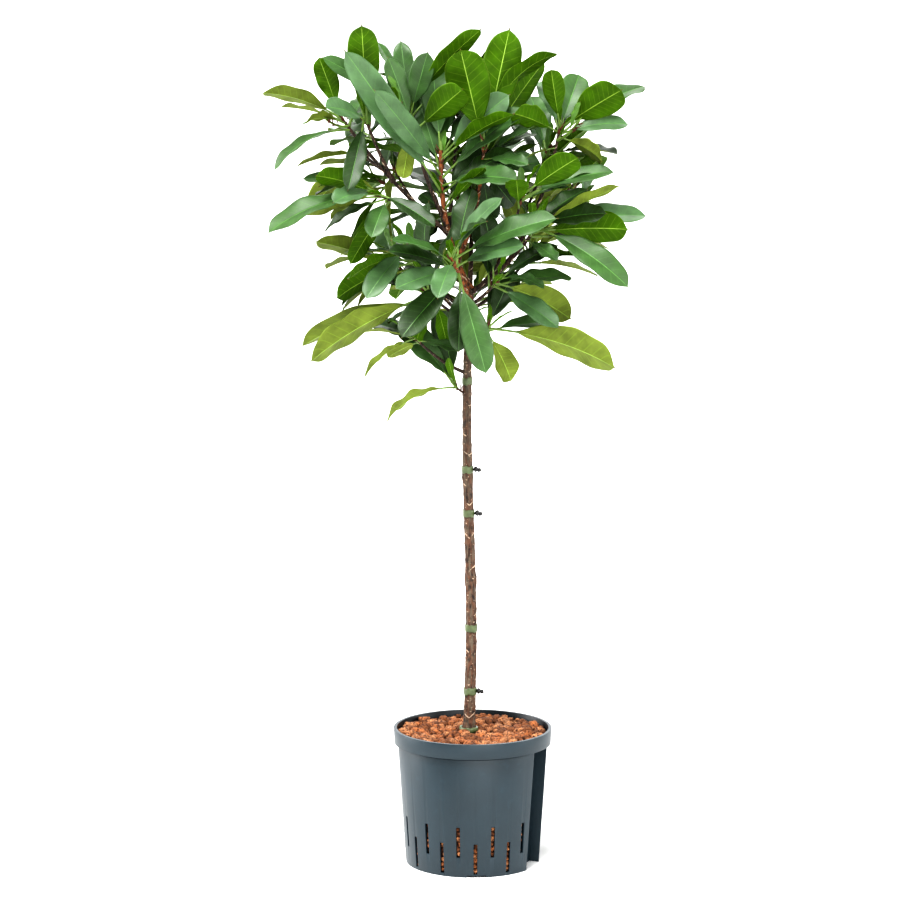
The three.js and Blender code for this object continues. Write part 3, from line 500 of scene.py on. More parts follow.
class Crown:
    """All limbs and leaves, grown in the solids' order and then carried on."""

    def __init__(self, trunk_sizes, sizes):
        self.sizes = sizes
        self.taken = TakenSpace()
        self.trunk = Limb(
            TrunkLine(trunk_sizes), TRUNK_TOP - TRUNK_FOOT,
            lambda t: trunk_radius(trunk_sizes, TRUNK_FOOT + t * (TRUNK_TOP - TRUNK_FOOT)))
        self.limbs = {"trunk": self.trunk}
        self.leaves = {}
        self.twigs = {}
        self.taken.add(self.trunk.points(0, 1), -1)
        for step in (self.lay_out, self.grow_chosen, self.grow_by_rule, self.carry_on):
            for index, row in enumerate(MASSES):
                step(index, row)

    def lay_out(self, index, row):
        """A bough and its stem, from the parent limb to the bud."""
        parent = self.limbs[row.parent]
        foot = parent.line.point(row.at * parent.end)
        line = BowedLine(foot, np.array(row.bud, float), np.array(row.bow, float))
        length = line.length()
        end = 1 - row.stem / length if row.stem > 0 else 0
        limb = Limb(line, length, lambda t: row.radius * (1 - LIMB_TAPER * t), end, row.leafy / length)
        self.limbs[row.name] = limb
        self.leaves[row.name] = []
        self.twigs[row.name] = []
        self.taken.add(limb.points(0, 1), index)

    def try_leaf(self, index, leaf, room, own_room):
        """Adds a leaf if it is clear of the rest. Its root may lie near its own limb."""
        blade = leaf.points(LEAF_CROWDED_SHARE, 1)
        root = leaf.points(LEAF_ROOT_SHARE, LEAF_CROWDED_SHARE)
        is_clear = self.has_room(index, blade, root, room, own_room)
        if is_clear:
            self.leaves[MASSES[index].name].append(leaf)
        return is_clear

    def has_room(self, index, skin, root, room, own_room):
        """True if a skin, and a root on its own limb, are clear of the rest. Then it takes their room."""
        is_clear = (self.taken.is_clear(skin, index, room, own_room)
                    and self.taken.is_clear(root, index, room, 0))
        if is_clear:
            self.taken.add(np.vstack([skin, root]), index)
        return is_clear

    def grow_chosen(self, index, row):
        """Leaves whose tips are known. Each moves a little deeper or nearer until it clears the rest,
        or stays where it was if it never does."""
        limb = self.limbs[row.name]
        for place, *tip, tilt, bend, width in row.leaves:
            foot = limb.line.point(1 - limb.leafy * place)
            face = np.array([0, -math.sin(math.radians(tilt)), math.cos(math.radians(tilt))])
            tries = []
            for depth in DEPTHS:
                chord = np.array(tip) + depth * BACK - foot
                length = np.linalg.norm(chord)
                tries.append(Leaf(foot, chord / length, length, face, self.sizes, bend, width=width))
                if self.try_leaf(index, tries[-1], SEEN_CLEARANCE, SEEN_OWN_CLEARANCE):
                    break
            else:
                self.leaves[row.name].append(tries[0])
                self.taken.add(tries[0].points(LEAF_ROOT_SHARE, 1), index)

    def grow_leaves(self, index, shoot, count, random, spreads=(NARROW_SPREAD, WIDE_SPREAD),
                    rooms=(LEAF_CLEARANCE, OWN_CLEARANCE), scale=1, width=1, reach=1, young=False):
        """Leaves set round the end of a shoot by the golden angle, the outer ones more spread. They keep
        near the mass's bud, and behind the leaves whose tips are known."""
        narrow, wide = spreads
        axis = shoot.line.tangent(1)
        bud = np.array(MASSES[index].bud, float)
        phase = 360 * random()
        for i in range(count):
            share = (i + RULE_OFFSET) / count
            length = self.sizes.length / MM * scale * varied(random, self.sizes.variation)
            foot = shoot.line.point(1 - shoot.leafy * share)
            for aside in TURNS:
                direction = off_axis(axis, phase + i * GOLDEN_ANGLE + aside, narrow + (wide - narrow) * share)
                leaf = Leaf(foot, direction, length, axis + UP, self.sizes, young=young, width=width)
                tip = leaf.place(1.0, 0.0, 0.0)
                is_near = np.linalg.norm(tip - bud) < OWN_SPACE
                is_behind = young or not MASSES[index].leaves or tip[1] > FRONT_LIMIT
                if in_crown(tip, reach) and is_near and is_behind and self.try_leaf(index, leaf, *rooms):
                    break

    def grow_by_rule(self, index, row):
        """Leaves and side twigs by the golden angle. Each twig ends in a tuft of leaves."""
        limb = self.limbs[row.name]
        random = seeded_random(index + self.sizes.seed)
        self.grow_leaves(index, limb, row.more, random)
        phase = 360 * random()
        radius = self.sizes.twig_radius / MM
        for i in range(row.twigs):
            t = limb.end + (1 - limb.end) * (i + TWIG_OFFSET) / row.twigs
            direction = off_axis(limb.line.tangent(t), phase + i * GOLDEN_ANGLE, TWIG_SPREAD)
            foot = limb.line.point(t)
            length = self.sizes.twig_length / MM * varied(random, TWIG_VARIATION)
            line = BowedLine(foot, foot + direction * length, -TWIG_SAG * length * UP)
            twig = Limb(line, length, lambda t: radius, leafy=TWIG_LEAFY_SHARE)
            root, skin = twig.points(0, TWIG_ROOT_SHARE), twig.points(TWIG_ROOT_SHARE, 1)
            if in_crown(line.tip) and self.has_room(index, skin, root, LEAF_CLEARANCE, OWN_CLEARANCE):
                self.twigs[row.name].append(twig)
                self.grow_leaves(index, twig, LEAVES_PER_TWIG, random)

    def carry_on(self, index, row):
        """Young leaves round the buds, and smaller leaves in the room that is left."""
        random = seeded_random(index + 2 * self.sizes.seed)
        limb = self.limbs[row.name]
        for shoot in (limb, *self.twigs[row.name]):
            self.grow_leaves(
                index, shoot, YOUNG_LEAVES, random, scale=YOUNG_LENGTH, width=YOUNG_WIDTH,
                spreads=YOUNG_SPREADS, rooms=(FILL_CLEARANCE, 0), reach=FILL_REACH, young=True)
        self.grow_leaves(
            index, limb, FILL_LEAVES, random, scale=FILL_LENGTH, reach=FILL_REACH,
            rooms=(FILL_CLEARANCE, FILL_OWN_CLEARANCE))


def trunk_radius(sizes, height):
    """The trunk's radius at a height: a taper, a flared root and two swollen old joints."""
    share = (height - TRUNK_FOOT) / (TRUNK_TOP - TRUNK_FOOT)
    radius = (sizes.foot_radius + share * (sizes.top_radius - sizes.foot_radius)) / MM
    radius += sizes.flare / MM * math.exp((TRUNK_FOOT - height) / (sizes.flare_height / MM))
    knots = [math.exp(-(((height - knot) / KNOT_REACH) ** 2)) for knot in KNOT_HEIGHTS]
    return radius + KNOT_SWELL * sum(knots)


def facing_out(vertices, faces):
    """The quads of a closed skin, turned over where they face inwards."""
    a, b, c, d = (vertices[faces[:, i]] - vertices.mean(0) for i in range(4))
    return faces if np.sum(a * (np.cross(b, c) + np.cross(c, d))) > 0 else faces[:, ::-1]


LEAF_MAP = "leaf"


class Skin:
    """Collects closed skins of quads, with a material slot and a place on the leaf for each, as one mesh."""

    def __init__(self):
        self.vertices, self.faces, self.slots, self.places = [], [], [], []
        self.count = 0

    def add(self, vertices, faces, slots, places=None):
        """Adds quads over some vertices. slots is one material slot or one for each face."""
        self.vertices.append(vertices)
        self.faces.append(facing_out(vertices, faces) + self.count)
        self.slots.append(np.broadcast_to(slots, len(faces)))
        self.places.append(np.zeros((len(vertices), 2)) if places is None else places)
        self.count += len(vertices)

    def add_tube(self, rings, slots=0, places=None):
        """A closed tube through rings of corners, with both ends capped."""
        steps, sides = rings.shape[:2]
        near = np.arange(sides)
        step = np.stack([near, np.roll(near, -1), np.roll(near, -1) + sides, near + sides], axis=1)
        faces = (step[None] + sides * np.arange(steps - 1)[:, None, None]).reshape(-1, 4)
        slots = np.broadcast_to(slots, (steps - 1, sides)).reshape(-1)
        ends = np.stack([rings[0].mean(0), rings[-1].mean(0)])
        first, last = steps * sides, steps * sides + 1
        even = np.arange(0, sides, 2)
        foot = np.stack([np.full(len(even), first), (even + 2) % sides, even + 1, even], axis=1)
        top = np.stack([np.full(len(even), last), even, even + 1, (even + 2) % sides], axis=1)
        top[:, 1:] += (steps - 1) * sides
        if places is not None:
            places = np.vstack([places.reshape(-1, 2), places[0].mean(0), places[-1].mean(0)])
        self.add(
            np.vstack([rings.reshape(-1, 3), ends]), np.vstack([faces, foot, top]),
            np.concatenate([slots, np.full(2 * len(even), slots[0])]), places)

    def make(self, name, materials, replaces):
        """Makes the piece, in metres, riding on the body and standing for its CAD nodes."""
        mesh = bpy.data.meshes.new(name)
        mesh.from_pydata(np.vstack(self.vertices) * MM, [], np.vstack(self.faces).tolist())
        mesh.polygons.foreach_set("material_index", np.concatenate(self.slots).astype(np.int32))
        corners = np.zeros(len(mesh.loops), np.int32)
        mesh.loops.foreach_get("vertex_index", corners)
        mesh.uv_layers.new(name=LEAF_MAP).data.foreach_set(
            "uv", np.vstack(self.places)[corners].astype(np.float32).reshape(-1))
        mesh.shade_smooth()
        piece = bpy.data.objects.new(name, mesh)
        bpy.context.collection.objects.link(piece)
        return settle(piece, materials, replaces)


def settle(piece, materials, replaces):
    """Gives a piece its materials and its body, and hides the CAD nodes that it stands for."""
    for material in materials:
        piece.data.materials.append(material)
    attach(piece, BODY)
    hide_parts(*replaces)
    return piece


# The fine blade's outline, stations along it, and places across its half
BLADE_BODY = 0.955
WIDEST = 0.56
FOOT_FULLNESS = 0.92
END_BLUNTNESS = 3.2
DRIP_TIP = 0.055
FINE_WIDTH = 0.9
ROOT_HALF = 0.35
LEAST_HALF = 0.1
BLADE_OVERLAP = 0.012
BLADE_STATIONS = 30
STATION_CROWDING = 0.86
ACROSS_HALF = (0.022, 0.12, 0.3, 0.5, 0.7, 0.88, 1.0)

# How its faces are shaped: the fold, the edge's droop and waves, a twist, the side ribs and the midrib
FINE_FOLD = 1.45
EDGE_DROOP = 0.3
WAVE = 1.6
WAVE_COUNT = 2.2
WAVE_FULL_WIDTH = 10
TWIST = 0.175
RIB_PAIRS = 11
RIB_DEPTH = 0.16
RIB_SLANT = 1.3
EDGE_THINNING = 0.45
KEEL = 1.0
KEEL_TAPER = 0.75

# Its round stalk, thickest at the foot, which grows with the leaf up to a limit
STALK_SIDES = 8
STALK_STATIONS = 8
STALK_RADII = (1.9, 1.15)
STALK_OVERLAP = 0.03
STALK_DROP = 0.3
STALK_LEAF_LENGTH = 110
STALK_MOST = 1.1


def fine_outline(along):
    """Half of a fine blade's width as a share of the most, with a blunt end and a narrow drip tip."""
    body = along / BLADE_BODY
    foot = np.sin(math.pi / 2 * np.clip(body / WIDEST, 0, 1)) ** FOOT_FULLNESS
    end = np.sqrt(np.maximum(1 - np.clip((body - WIDEST) / (1 - WIDEST), 0, 1) ** END_BLUNTNESS, 0))
    tip = DRIP_TIP * np.minimum((1 - along) / (1 - BLADE_BODY), 1) * (along > WIDEST)
    return np.maximum(foot * end, tip)


def blade_lift(leaf, along, across, half, shape):
    """How far a blade's middle layer is lifted, for each station and place across."""
    reach = np.abs(across)[None] * half[:, None]
    phase = 2 * math.pi * shape()
    swing = WAVE * (0.5 + shape()) * np.sin(2 * math.pi * (WAVE_COUNT + shape()) * along + phase)
    wave = swing[:, None] * across[None] ** 2 * np.minimum(half / WAVE_FULL_WIDTH, 1)[:, None]
    twist = TWIST * (shape() - 0.5) * along[:, None] * across[None] * half[:, None]
    droop = EDGE_DROOP * leaf.fold * np.abs(across)[None] ** 3 * half[:, None]
    slant = along[:, None] * RIB_PAIRS - np.abs(across)[None] * RIB_SLANT
    ribs = RIB_DEPTH * np.cos(2 * math.pi * slant) * np.sin(math.pi * np.abs(across))[None]
    return reach * leaf.fold * FINE_FOLD - droop + wave + twist + ribs


def add_leaf(skin, leaf, upper, under, midribs, stalk, shape):
    """One leaf: a round stalk and a blade with an upper face, an underside and a raised midrib."""
    start = BLADE_START - BLADE_OVERLAP
    share = start + (1 - start) * np.linspace(0, 1, BLADE_STATIONS) ** STATION_CROWDING
    along = np.clip((share - BLADE_START) / (1 - BLADE_START), 0, 1)
    half = FINE_WIDTH * leaf.width / 2 * fine_outline(along) + ROOT_HALF * (1 - along) + LEAST_HALF
    top = np.array([-a for a in reversed(ACROSS_HALF)] + list(ACROSS_HALF))
    across = np.concatenate([top, top[-2:0:-1]])
    is_top = np.arange(len(across)) < len(top)
    lift = blade_lift(leaf, along, across, half, shape)
    thick = leaf.thickness * (1 - EDGE_THINNING * np.abs(across))[None] * np.ones_like(lift)
    keel = np.where(np.abs(across) == ACROSS_HALF[0], KEEL * (1 - KEEL_TAPER * along)[:, None], 0)
    lift += np.where(is_top, thick / 2, -thick / 2 - keel)
    edge = np.abs(across) == 1
    lift[:, edge] -= (thick / 2)[:, edge]
    rings = leaf.place(np.broadcast_to(share[:, None], lift.shape), across[None] * half[:, None], lift)
    is_midrib = np.abs(across + np.roll(across, -1)) < ACROSS_HALF[0]
    slots = np.where(is_top & np.roll(is_top, -1), upper, under)
    slots = np.where(is_midrib, np.where(is_top, midribs[0], midribs[1]), slots)
    places = np.stack(np.broadcast_arrays(along[:, None], across[None] / 2 + 0.5), axis=2)
    skin.add_tube(rings[:, ::-1], np.roll(slots[::-1], -1), places[:, ::-1])
    turns = turns_round(STALK_SIDES)
    share = np.linspace(0, BLADE_START + STALK_OVERLAP, STALK_STATIONS)[:, None]
    size = min(leaf.length / STALK_LEAF_LENGTH, STALK_MOST)
    radius = np.linspace(*STALK_RADII, STALK_STATIONS)[:, None] * size
    share, across = np.broadcast_arrays(share, radius * np.cos(turns))
    skin.add_tube(leaf.place(share, across, radius * np.sin(turns) - STALK_DROP), stalk)


def set_inputs(tree, node, inputs):
    """Sets inputs of a node. Each takes a value, or an output that feeds it."""
    for socket, value in inputs.items():
        if isinstance(value, bpy.types.NodeSocket):
            tree.links.new(value, node.inputs[socket])
        else:
            node.inputs[socket].default_value = value


def add_node(tree, kind, inputs=None, output=None, **settings):
    """Adds a node with its settings and links. Returns the output of a name, or the first in use."""
    node = tree.nodes.new(kind)
    for name, value in settings.items():
        setattr(node, name, value)
    set_inputs(tree, node, inputs or {})
    return node.outputs[output] if output else next(socket for socket in node.outputs if socket.enabled)


def new_material(name):
    """A material, a short way to add its nodes, and places in the piece's own space."""
    material = bpy.data.materials.new(name)
    material.use_nodes = True
    node = functools.partial(add_node, material.node_tree)
    return material, node, node("ShaderNodeTexCoord", output="Object")


def finished(material, inputs):
    """The material with the inputs of its surface shader set."""
    set_inputs(material.node_tree, material.node_tree.nodes["Principled BSDF"], inputs)
    return material


def per_spot(size_mm):
    """The scale of a pattern whose spots are about size_mm across."""
    return 1 / (size_mm * MM)


def shaded(colour, factor):
    """A colour made darker or lighter by a factor."""
    return tuple(min(channel * factor, 1) for channel in colour[:3]) + (1.0,)


def patched(node, place, spot_mm, detail, low, high, between, patch):
    """One colour with soft patches of another on it, about spot_mm across."""
    share = node("ShaderNodeTexNoise", {"Vector": place, "Scale": per_spot(spot_mm), "Detail": detail})
    share = node("ShaderNodeMapRange", {"Value": share, "From Min": low, "From Max": high})
    return node("ShaderNodeMix", {"Factor": share, 6: between, 7: patch}, data_type="RGBA")


def grained(node, place, spot_mm, detail, depth_mm, strength=1.0):
    """A fine relief of grains about spot_mm across."""
    grain = node("ShaderNodeTexNoise", {"Vector": place, "Scale": per_spot(spot_mm), "Detail": detail})
    return node("ShaderNodeBump", {"Height": grain, "Strength": strength, "Distance": depth_mm * MM})


# The painted shade inside the pot's rim: how far in from the collar, how deep, and how soft its edge is
SHADE_INSET = 0.0038
SHADE_DEPTH = 0.018
SHADE_BLUR = 0.0006


def moulded_polypropylene(colours):
    """Polypropylene, injection moulded: an even blue-grey with a soft sheen, a fine matt grain and a few
    pale scuffs, and painted shade that darkens it inside the rim."""
    material, node, place = new_material("moulded_polypropylene")
    colour = patched(node, place, 45, 3, 0.35, 0.7, shaded(colours.pot, 0.92), shaded(colours.pot, 1.1))
    colour = patched(node, place, 14, 8, 0.6, 0.8, colour, shaded(colours.pot, 1.3))
    level = node("ShaderNodeVectorMath", {0: place, 1: (1, 1, 0)}, operation="MULTIPLY")
    radius = node("ShaderNodeVectorMath", {0: level}, "Value", operation="LENGTH")
    inner = POT_HIGH[0] - SHADE_INSET
    is_inner = node("ShaderNodeMapRange", {
        "Value": radius, "From Min": inner, "From Max": inner - SHADE_BLUR})
    height = node("ShaderNodeSeparateXYZ", {"Vector": place}, "Z")
    foot = POT_HIGH[2] - SHADE_DEPTH
    is_high = node("ShaderNodeMapRange", {"Value": height, "From Min": foot, "From Max": foot + SHADE_BLUR})
    # Painted shade: much darker inside the rim, in the top of the hollow
    inner_shade = node("ShaderNodeMath", {0: is_inner, 1: is_high}, operation="MULTIPLY")
    colour = node("ShaderNodeMix", {
        "Factor": inner_shade, 6: colour, 7: shaded(colours.pot, 0.3)}, data_type="RGBA")
    relief = grained(node, place, 1.2, 2, 0.05, strength=0.5)
    return finished(material, {"Base Color": colour, "Roughness": 0.42, "Normal": relief})


def fired_clay(name, colour, colours):
    """Expanded clay, fired and broken: matt terracotta with lighter dust, and open pores in the dark colour
    of the painted shade between the granules.
    """
    material, node, place = new_material(name)
    warm = patched(node, place, 7, 3, 0.3, 0.7, shaded(colour, 0.55), shaded(colour, 1.45))
    # Painted shade: the pores take the dark colour of the gaps
    tone = patched(node, place, 2.6, 5, 0.36, 0.52, colours.clay_gap_shade, warm)
    relief = grained(node, place, 1.8, 5, 0.6)
    return finished(material, {"Base Color": tone, "Roughness": 0.93, "Normal": relief})


# Heights in metres between which the bark turns darker and greyer upwards
BARK_GREYS = (0.46, 0.72)


def fig_bark(name, colour, colours, spot_mm, joints_mm, greying=0.0):
    """Thin fig bark, grown: brown, weathered grey in streaks along the limb, with pale corky lenticels
    and, at each old joint, the pale chevron that a fallen leaf leaves. With greying, it turns darker and
    greyer with height."""
    material, node, place = new_material(name)
    long = node("ShaderNodeMapping", {"Vector": place, "Scale": (1, 1, 0.55)})
    rough = node("ShaderNodeTexNoise", {"Vector": long, "Scale": per_spot(4), "Detail": 6})
    tones = node("ShaderNodeMapRange", {"Value": rough, "From Min": 0.36, "From Max": 0.6})
    brown = node("ShaderNodeMix", {
        "Factor": tones, 6: shaded(colour, 0.16), 7: shaded(colour, 1.5)}, data_type="RGBA")
    if greying:
        streaks = node("ShaderNodeMapping", {"Vector": place, "Scale": (1, 1, 0.16)})
        brown = patched(node, streaks, 3.2, 5, 0.46, 0.68, brown, colours.bark_grey)
        height = node("ShaderNodeSeparateXYZ", {"Vector": place}, "Z")
        # The bark turns darker and greyer towards the top
        greyness = node("ShaderNodeMapRange", {
            "Value": height, "From Min": BARK_GREYS[0], "From Max": BARK_GREYS[1], "To Max": greying})
        brown = node("ShaderNodeMix", {
            "Factor": greyness, 6: brown, 7: shaded(colours.bark_grey, 0.55)}, data_type="RGBA")
    wide = node("ShaderNodeMapping", {"Vector": place, "Scale": (1, 1, 1.6)})
    brown = patched(node, wide, spot_mm, 2, 0.68, 0.71, brown, colours.bark_scar)
    scars = leaf_scars(node, place, joints_mm)
    brown = node("ShaderNodeMix", {"Factor": scars, 6: brown, 7: colours.bark_scar}, data_type="RGBA")
    height = node("ShaderNodeMath", {0: scars, 1: 0.7, 2: rough}, operation="MULTIPLY_ADD")
    relief = node("ShaderNodeBump", {"Height": height, "Distance": 0.9 * MM})
    return finished(material, {"Base Color": brown, "Roughness": 0.8, "Normal": relief})


def leaf_scars(node, place, joints_mm):
    """Broken chevrons across a limb, joints_mm apart up it."""
    aside = node("ShaderNodeMath", {
        0: node("ShaderNodeSeparateXYZ", {"Vector": place}, "X"), 1: -TRUNK_X * MM}, operation="ADD")
    aside = node("ShaderNodeMath", {0: aside}, operation="ABSOLUTE")
    height = node("ShaderNodeSeparateXYZ", {"Vector": place}, "Z")
    slope = node("ShaderNodeMath", {0: aside, 1: -0.9, 2: height}, operation="MULTIPLY_ADD")
    wobble = node("ShaderNodeTexNoise", {"Vector": place, "Scale": per_spot(9), "Detail": 2})
    bent = node("ShaderNodeMath", {0: wobble, 1: 0.006, 2: slope}, operation="MULTIPLY_ADD")
    saw = node("ShaderNodeMath", {0: bent, 1: joints_mm * MM / 2}, operation="PINGPONG")
    line = node("ShaderNodeMapRange", {"Value": saw, "From Min": 0.0011, "From Max": 0.0005})
    breaks = node("ShaderNodeTexNoise", {"Vector": place, "Scale": per_spot(13), "Detail": 3})
    kept = node("ShaderNodeMapRange", {"Value": breaks, "From Min": 0.54, "From Max": 0.58})
    return node("ShaderNodeMath", {0: line, 1: kept}, operation="MULTIPLY")


def smooth_skin(name, colour, roughness, size_mm, depth_mm):
    """A thin living or moulded skin: one colour that varies a little, with a faint relief."""
    material, node, place = new_material(name)
    tone = patched(node, place, size_mm, 3, 0.3, 0.7, shaded(colour, 0.75), shaded(colour, 1.2))
    relief = grained(node, place, size_mm / 4, 4, depth_mm)
    return finished(material, {"Base Color": tone, "Roughness": roughness, "Normal": relief})


# What finishes a leaf: the dry tip's colour, and the two shines of an upper face and an underside
TIP_BROWN = linear("#5f4a26")
WAXED = {"Roughness": 0.46, "Specular IOR Level": 0.45, "Sheen Weight": 0.04, "Sheen Roughness": 0.5}
MATT = {"Roughness": 0.6, "Specular IOR Level": 0.12}


def leaf_blade(name, colour, vein, faint, raised, **finish):
    """A leathery fig leaf, grown: waxed above with a pale bloom, matt below, clouded, with side veins
    that slant from the midrib, a pale thin margin and a dry brown tip."""
    material, node, place = new_material(name)
    map_place = node("ShaderNodeUVMap", uv_map=LEAF_MAP)
    along = node("ShaderNodeSeparateXYZ", {"Vector": map_place}, "X")
    across = node("ShaderNodeSeparateXYZ", {"Vector": map_place}, "Y")
    aside = node("ShaderNodeMath", {0: across, 1: 0.5}, operation="SUBTRACT")
    aside = node("ShaderNodeMath", {0: aside}, operation="ABSOLUTE")
    pairs = node("ShaderNodeMath", {0: along, 1: RIB_PAIRS}, operation="MULTIPLY")
    slant = node("ShaderNodeMath", {0: aside, 1: -2 * RIB_SLANT, 2: pairs}, operation="MULTIPLY_ADD")
    saw = node("ShaderNodeMath", {0: slant, 1: 0.5}, operation="PINGPONG")
    line = node("ShaderNodeMapRange", {"Value": saw, "From Min": 0.08, "From Max": 0.0})
    inner = node("ShaderNodeMapRange", {"Value": aside, "From Min": 0.47, "From Max": 0.34})
    veins = node("ShaderNodeMath", {0: line, 1: inner}, operation="MULTIPLY")
    blade = patched(node, place, 22, 3, 0.32, 0.68, shaded(colour, 0.74), shaded(colour, 1.18))
    seen = node("ShaderNodeMath", {0: veins, 1: faint}, operation="MULTIPLY")
    blade = node("ShaderNodeMix", {"Factor": seen, 6: blade, 7: vein}, data_type="RGBA")
    margin = node("ShaderNodeMapRange", {"Value": aside, "From Min": 0.475, "From Max": 0.5, "To Max": 0.4})
    blade = node("ShaderNodeMix", {"Factor": margin, 6: blade, 7: vein}, data_type="RGBA")
    tip = node("ShaderNodeMapRange", {"Value": along, "From Min": 0.965, "From Max": 0.99})
    blade = node("ShaderNodeMix", {"Factor": tip, 6: blade, 7: TIP_BROWN}, data_type="RGBA")
    grain = node("ShaderNodeTexNoise", {"Vector": place, "Scale": per_spot(1.1), "Detail": 2})
    height = node("ShaderNodeMath", {0: veins, 1: raised, 2: grain}, operation="MULTIPLY_ADD")
    relief = node("ShaderNodeBump", {"Height": height, "Strength": 0.6, "Distance": 0.12 * MM})
    return finished(material, {"Base Color": blade, "Normal": relief, **finish})


# The material slots of a leaf piece
LEAF_SLOTS = (
    "deep", "blue", "middle", "fresh", "under_in_shade", "under_lit", "midrib_above", "midrib_below", "stalk")


def leaf_materials(colours):
    """The finishes of a leaf piece, in the order of LEAF_SLOTS."""
    above, below = colours.midrib_above, colours.midrib
    # The deep upper face is painted shade
    uppers = (
        ("deep", colours.leaf_deep, above), ("blue", colours.leaf_blue, above),
        ("middle", colours.leaf_mid, above), ("fresh", colours.leaf_fresh, below))
    # The dark underside is painted shade and the light one painted light
    unders = (("dark", colours.under_in_shade, 0.2), ("light", colours.under_lit, 0.25))
    return [
        *(leaf_blade(f"waxed_leaf_{name}", colour, vein, 0.16, -1.0, **WAXED)
          for name, colour, vein in uppers),
        *(leaf_blade(f"matt_underside_{name}", colour, below, faint, 2.0, **MATT)
          for name, colour, faint in unders),
        smooth_skin("midrib_above", above, 0.4, 12, 0.1),
        smooth_skin("midrib_below", below, 0.5, 12, 0.1),
        smooth_skin("leaf_stalk", colours.stalk, 0.45, 9, 0.15)]


def select_only(piece):
    """Makes one piece the only selected and the active one."""
    bpy.ops.object.select_all(action="DESELECT")
    piece.select_set(True)
    bpy.context.view_layer.objects.active = piece


# The least rise of a normal for a face that counts as a top
TOP_FACING = 0.9


def select_top(piece):
    """In edit mode, selects only the faces that look up."""
    bpy.ops.mesh.select_all(action="DESELECT")
    bpy.ops.mesh.select_mode(type="FACE")
    shape = bmesh.from_edit_mesh(piece.data)
    for face in shape.faces:
        face.select = face.normal.z > TOP_FACING
    shape.select_flush(True)
    bmesh.update_edit_mesh(piece.data)


def apply_place(piece):
    """Puts a piece's place, turn and scale into its mesh."""
    select_only(piece)
    bpy.ops.object.transform_apply(location=True, rotation=True, scale=True)


def cut(piece, cutter):
    """Cuts a solid out of a piece and removes it."""
    select_only(piece)
    modifier = piece.modifiers.new("cut", "BOOLEAN")
    modifier.operation = "DIFFERENCE"
    modifier.solver = "EXACT"
    modifier.object = cutter
    bpy.ops.object.modifier_apply(modifier=modifier.name)
    bpy.data.objects.remove(cutter, do_unlink=True)


def turned_solid(name, rings, sides):
    """A round solid from a cylinder, whose top is extruded and resized through rings of radius and height."""
    (first_radius, first_height), (radius, height) = rings[:2]
    bpy.ops.object.select_all(action="DESELECT")
    bpy.ops.mesh.primitive_cylinder_add(
        vertices=sides, radius=first_radius, depth=height - first_height, end_fill_type="NGON",
        location=(0, 0, (first_height + height) / 2))
    piece = bpy.context.object
    piece.name = piece.data.name = name
    apply_place(piece)
    bpy.ops.object.mode_set(mode="EDIT")
    select_top(piece)
    bpy.ops.transform.resize(value=(radius / first_radius, radius / first_radius, 1))
    for next_radius, next_height in rings[2:]:
        bpy.ops.mesh.extrude_region_move(TRANSFORM_OT_translate={"value": (0, 0, next_height - height)})
        bpy.ops.transform.resize(
            value=(next_radius / radius, next_radius / radius, 1), center_override=(0, 0, next_height))
        radius, height = next_radius, next_height
    bpy.ops.object.mode_set(mode="OBJECT")
    return piece


def radial_box(heading, near, far, width, low, high):
    """A box that stands out from the pot's axis along a heading."""
    bpy.ops.object.select_all(action="DESELECT")
    bpy.ops.mesh.primitive_cube_add(size=1, location=(0, 0, 0))
    box = bpy.context.object
    middle = (near + far) / 2
    box.scale = (far - near, width, high - low)
    box.rotation_euler = (0, 0, heading)
    box.location = (middle * math.cos(heading), middle * math.sin(heading), (low + high) / 2)
    apply_place(box)
    return box


# The pot, in metres: how far cutters pass it, half the arc that its groove takes up, how much its
# collar tapers, and the headings in degrees and size of the gaps under its foot
BEYOND = 0.03
POT_SIDES = 144
GROOVE_HALF_ANGLE = math.radians(22.5)
COLLAR_TAPER = 0.001
FOOT_GAPS = (-87, 33, 153)
FOOT_GAP_WIDTH = 0.027
FOOT_GAP_HEIGHT = 0.0028
BEVEL_ANGLE = math.radians(35)
SMOOTH_ANGLE = math.radians(32)


def slot_places(sizes):
    """The heading and foot of each drain slot, high and low in turn round the pot from the groove."""
    pitch = (2 * math.pi - 2 * GROOVE_HALF_ANGLE) / (sizes.high_slots - 1)
    for i in range(2 * sizes.high_slots - 1):
        foot = sizes.high_slot_foot if i % 2 == 0 else sizes.low_slot_foot
        yield sizes.groove_heading - GROOVE_HALF_ANGLE - i * pitch / 2, foot


def inner_rings(sizes, top, gap=0.0):
    """The pot's hollow as rings of radius and height, or with a gap what fills it."""
    ledge = sizes.height - sizes.collar_height + sizes.wall
    wall = sizes.wall + gap
    rim = sizes.rim_radius - sizes.collar_thickness - gap
    return [
        (sizes.body_foot_radius - wall, wall), (sizes.body_top_radius - wall, ledge + gap),
        (rim, ledge + gap), (rim, top)]


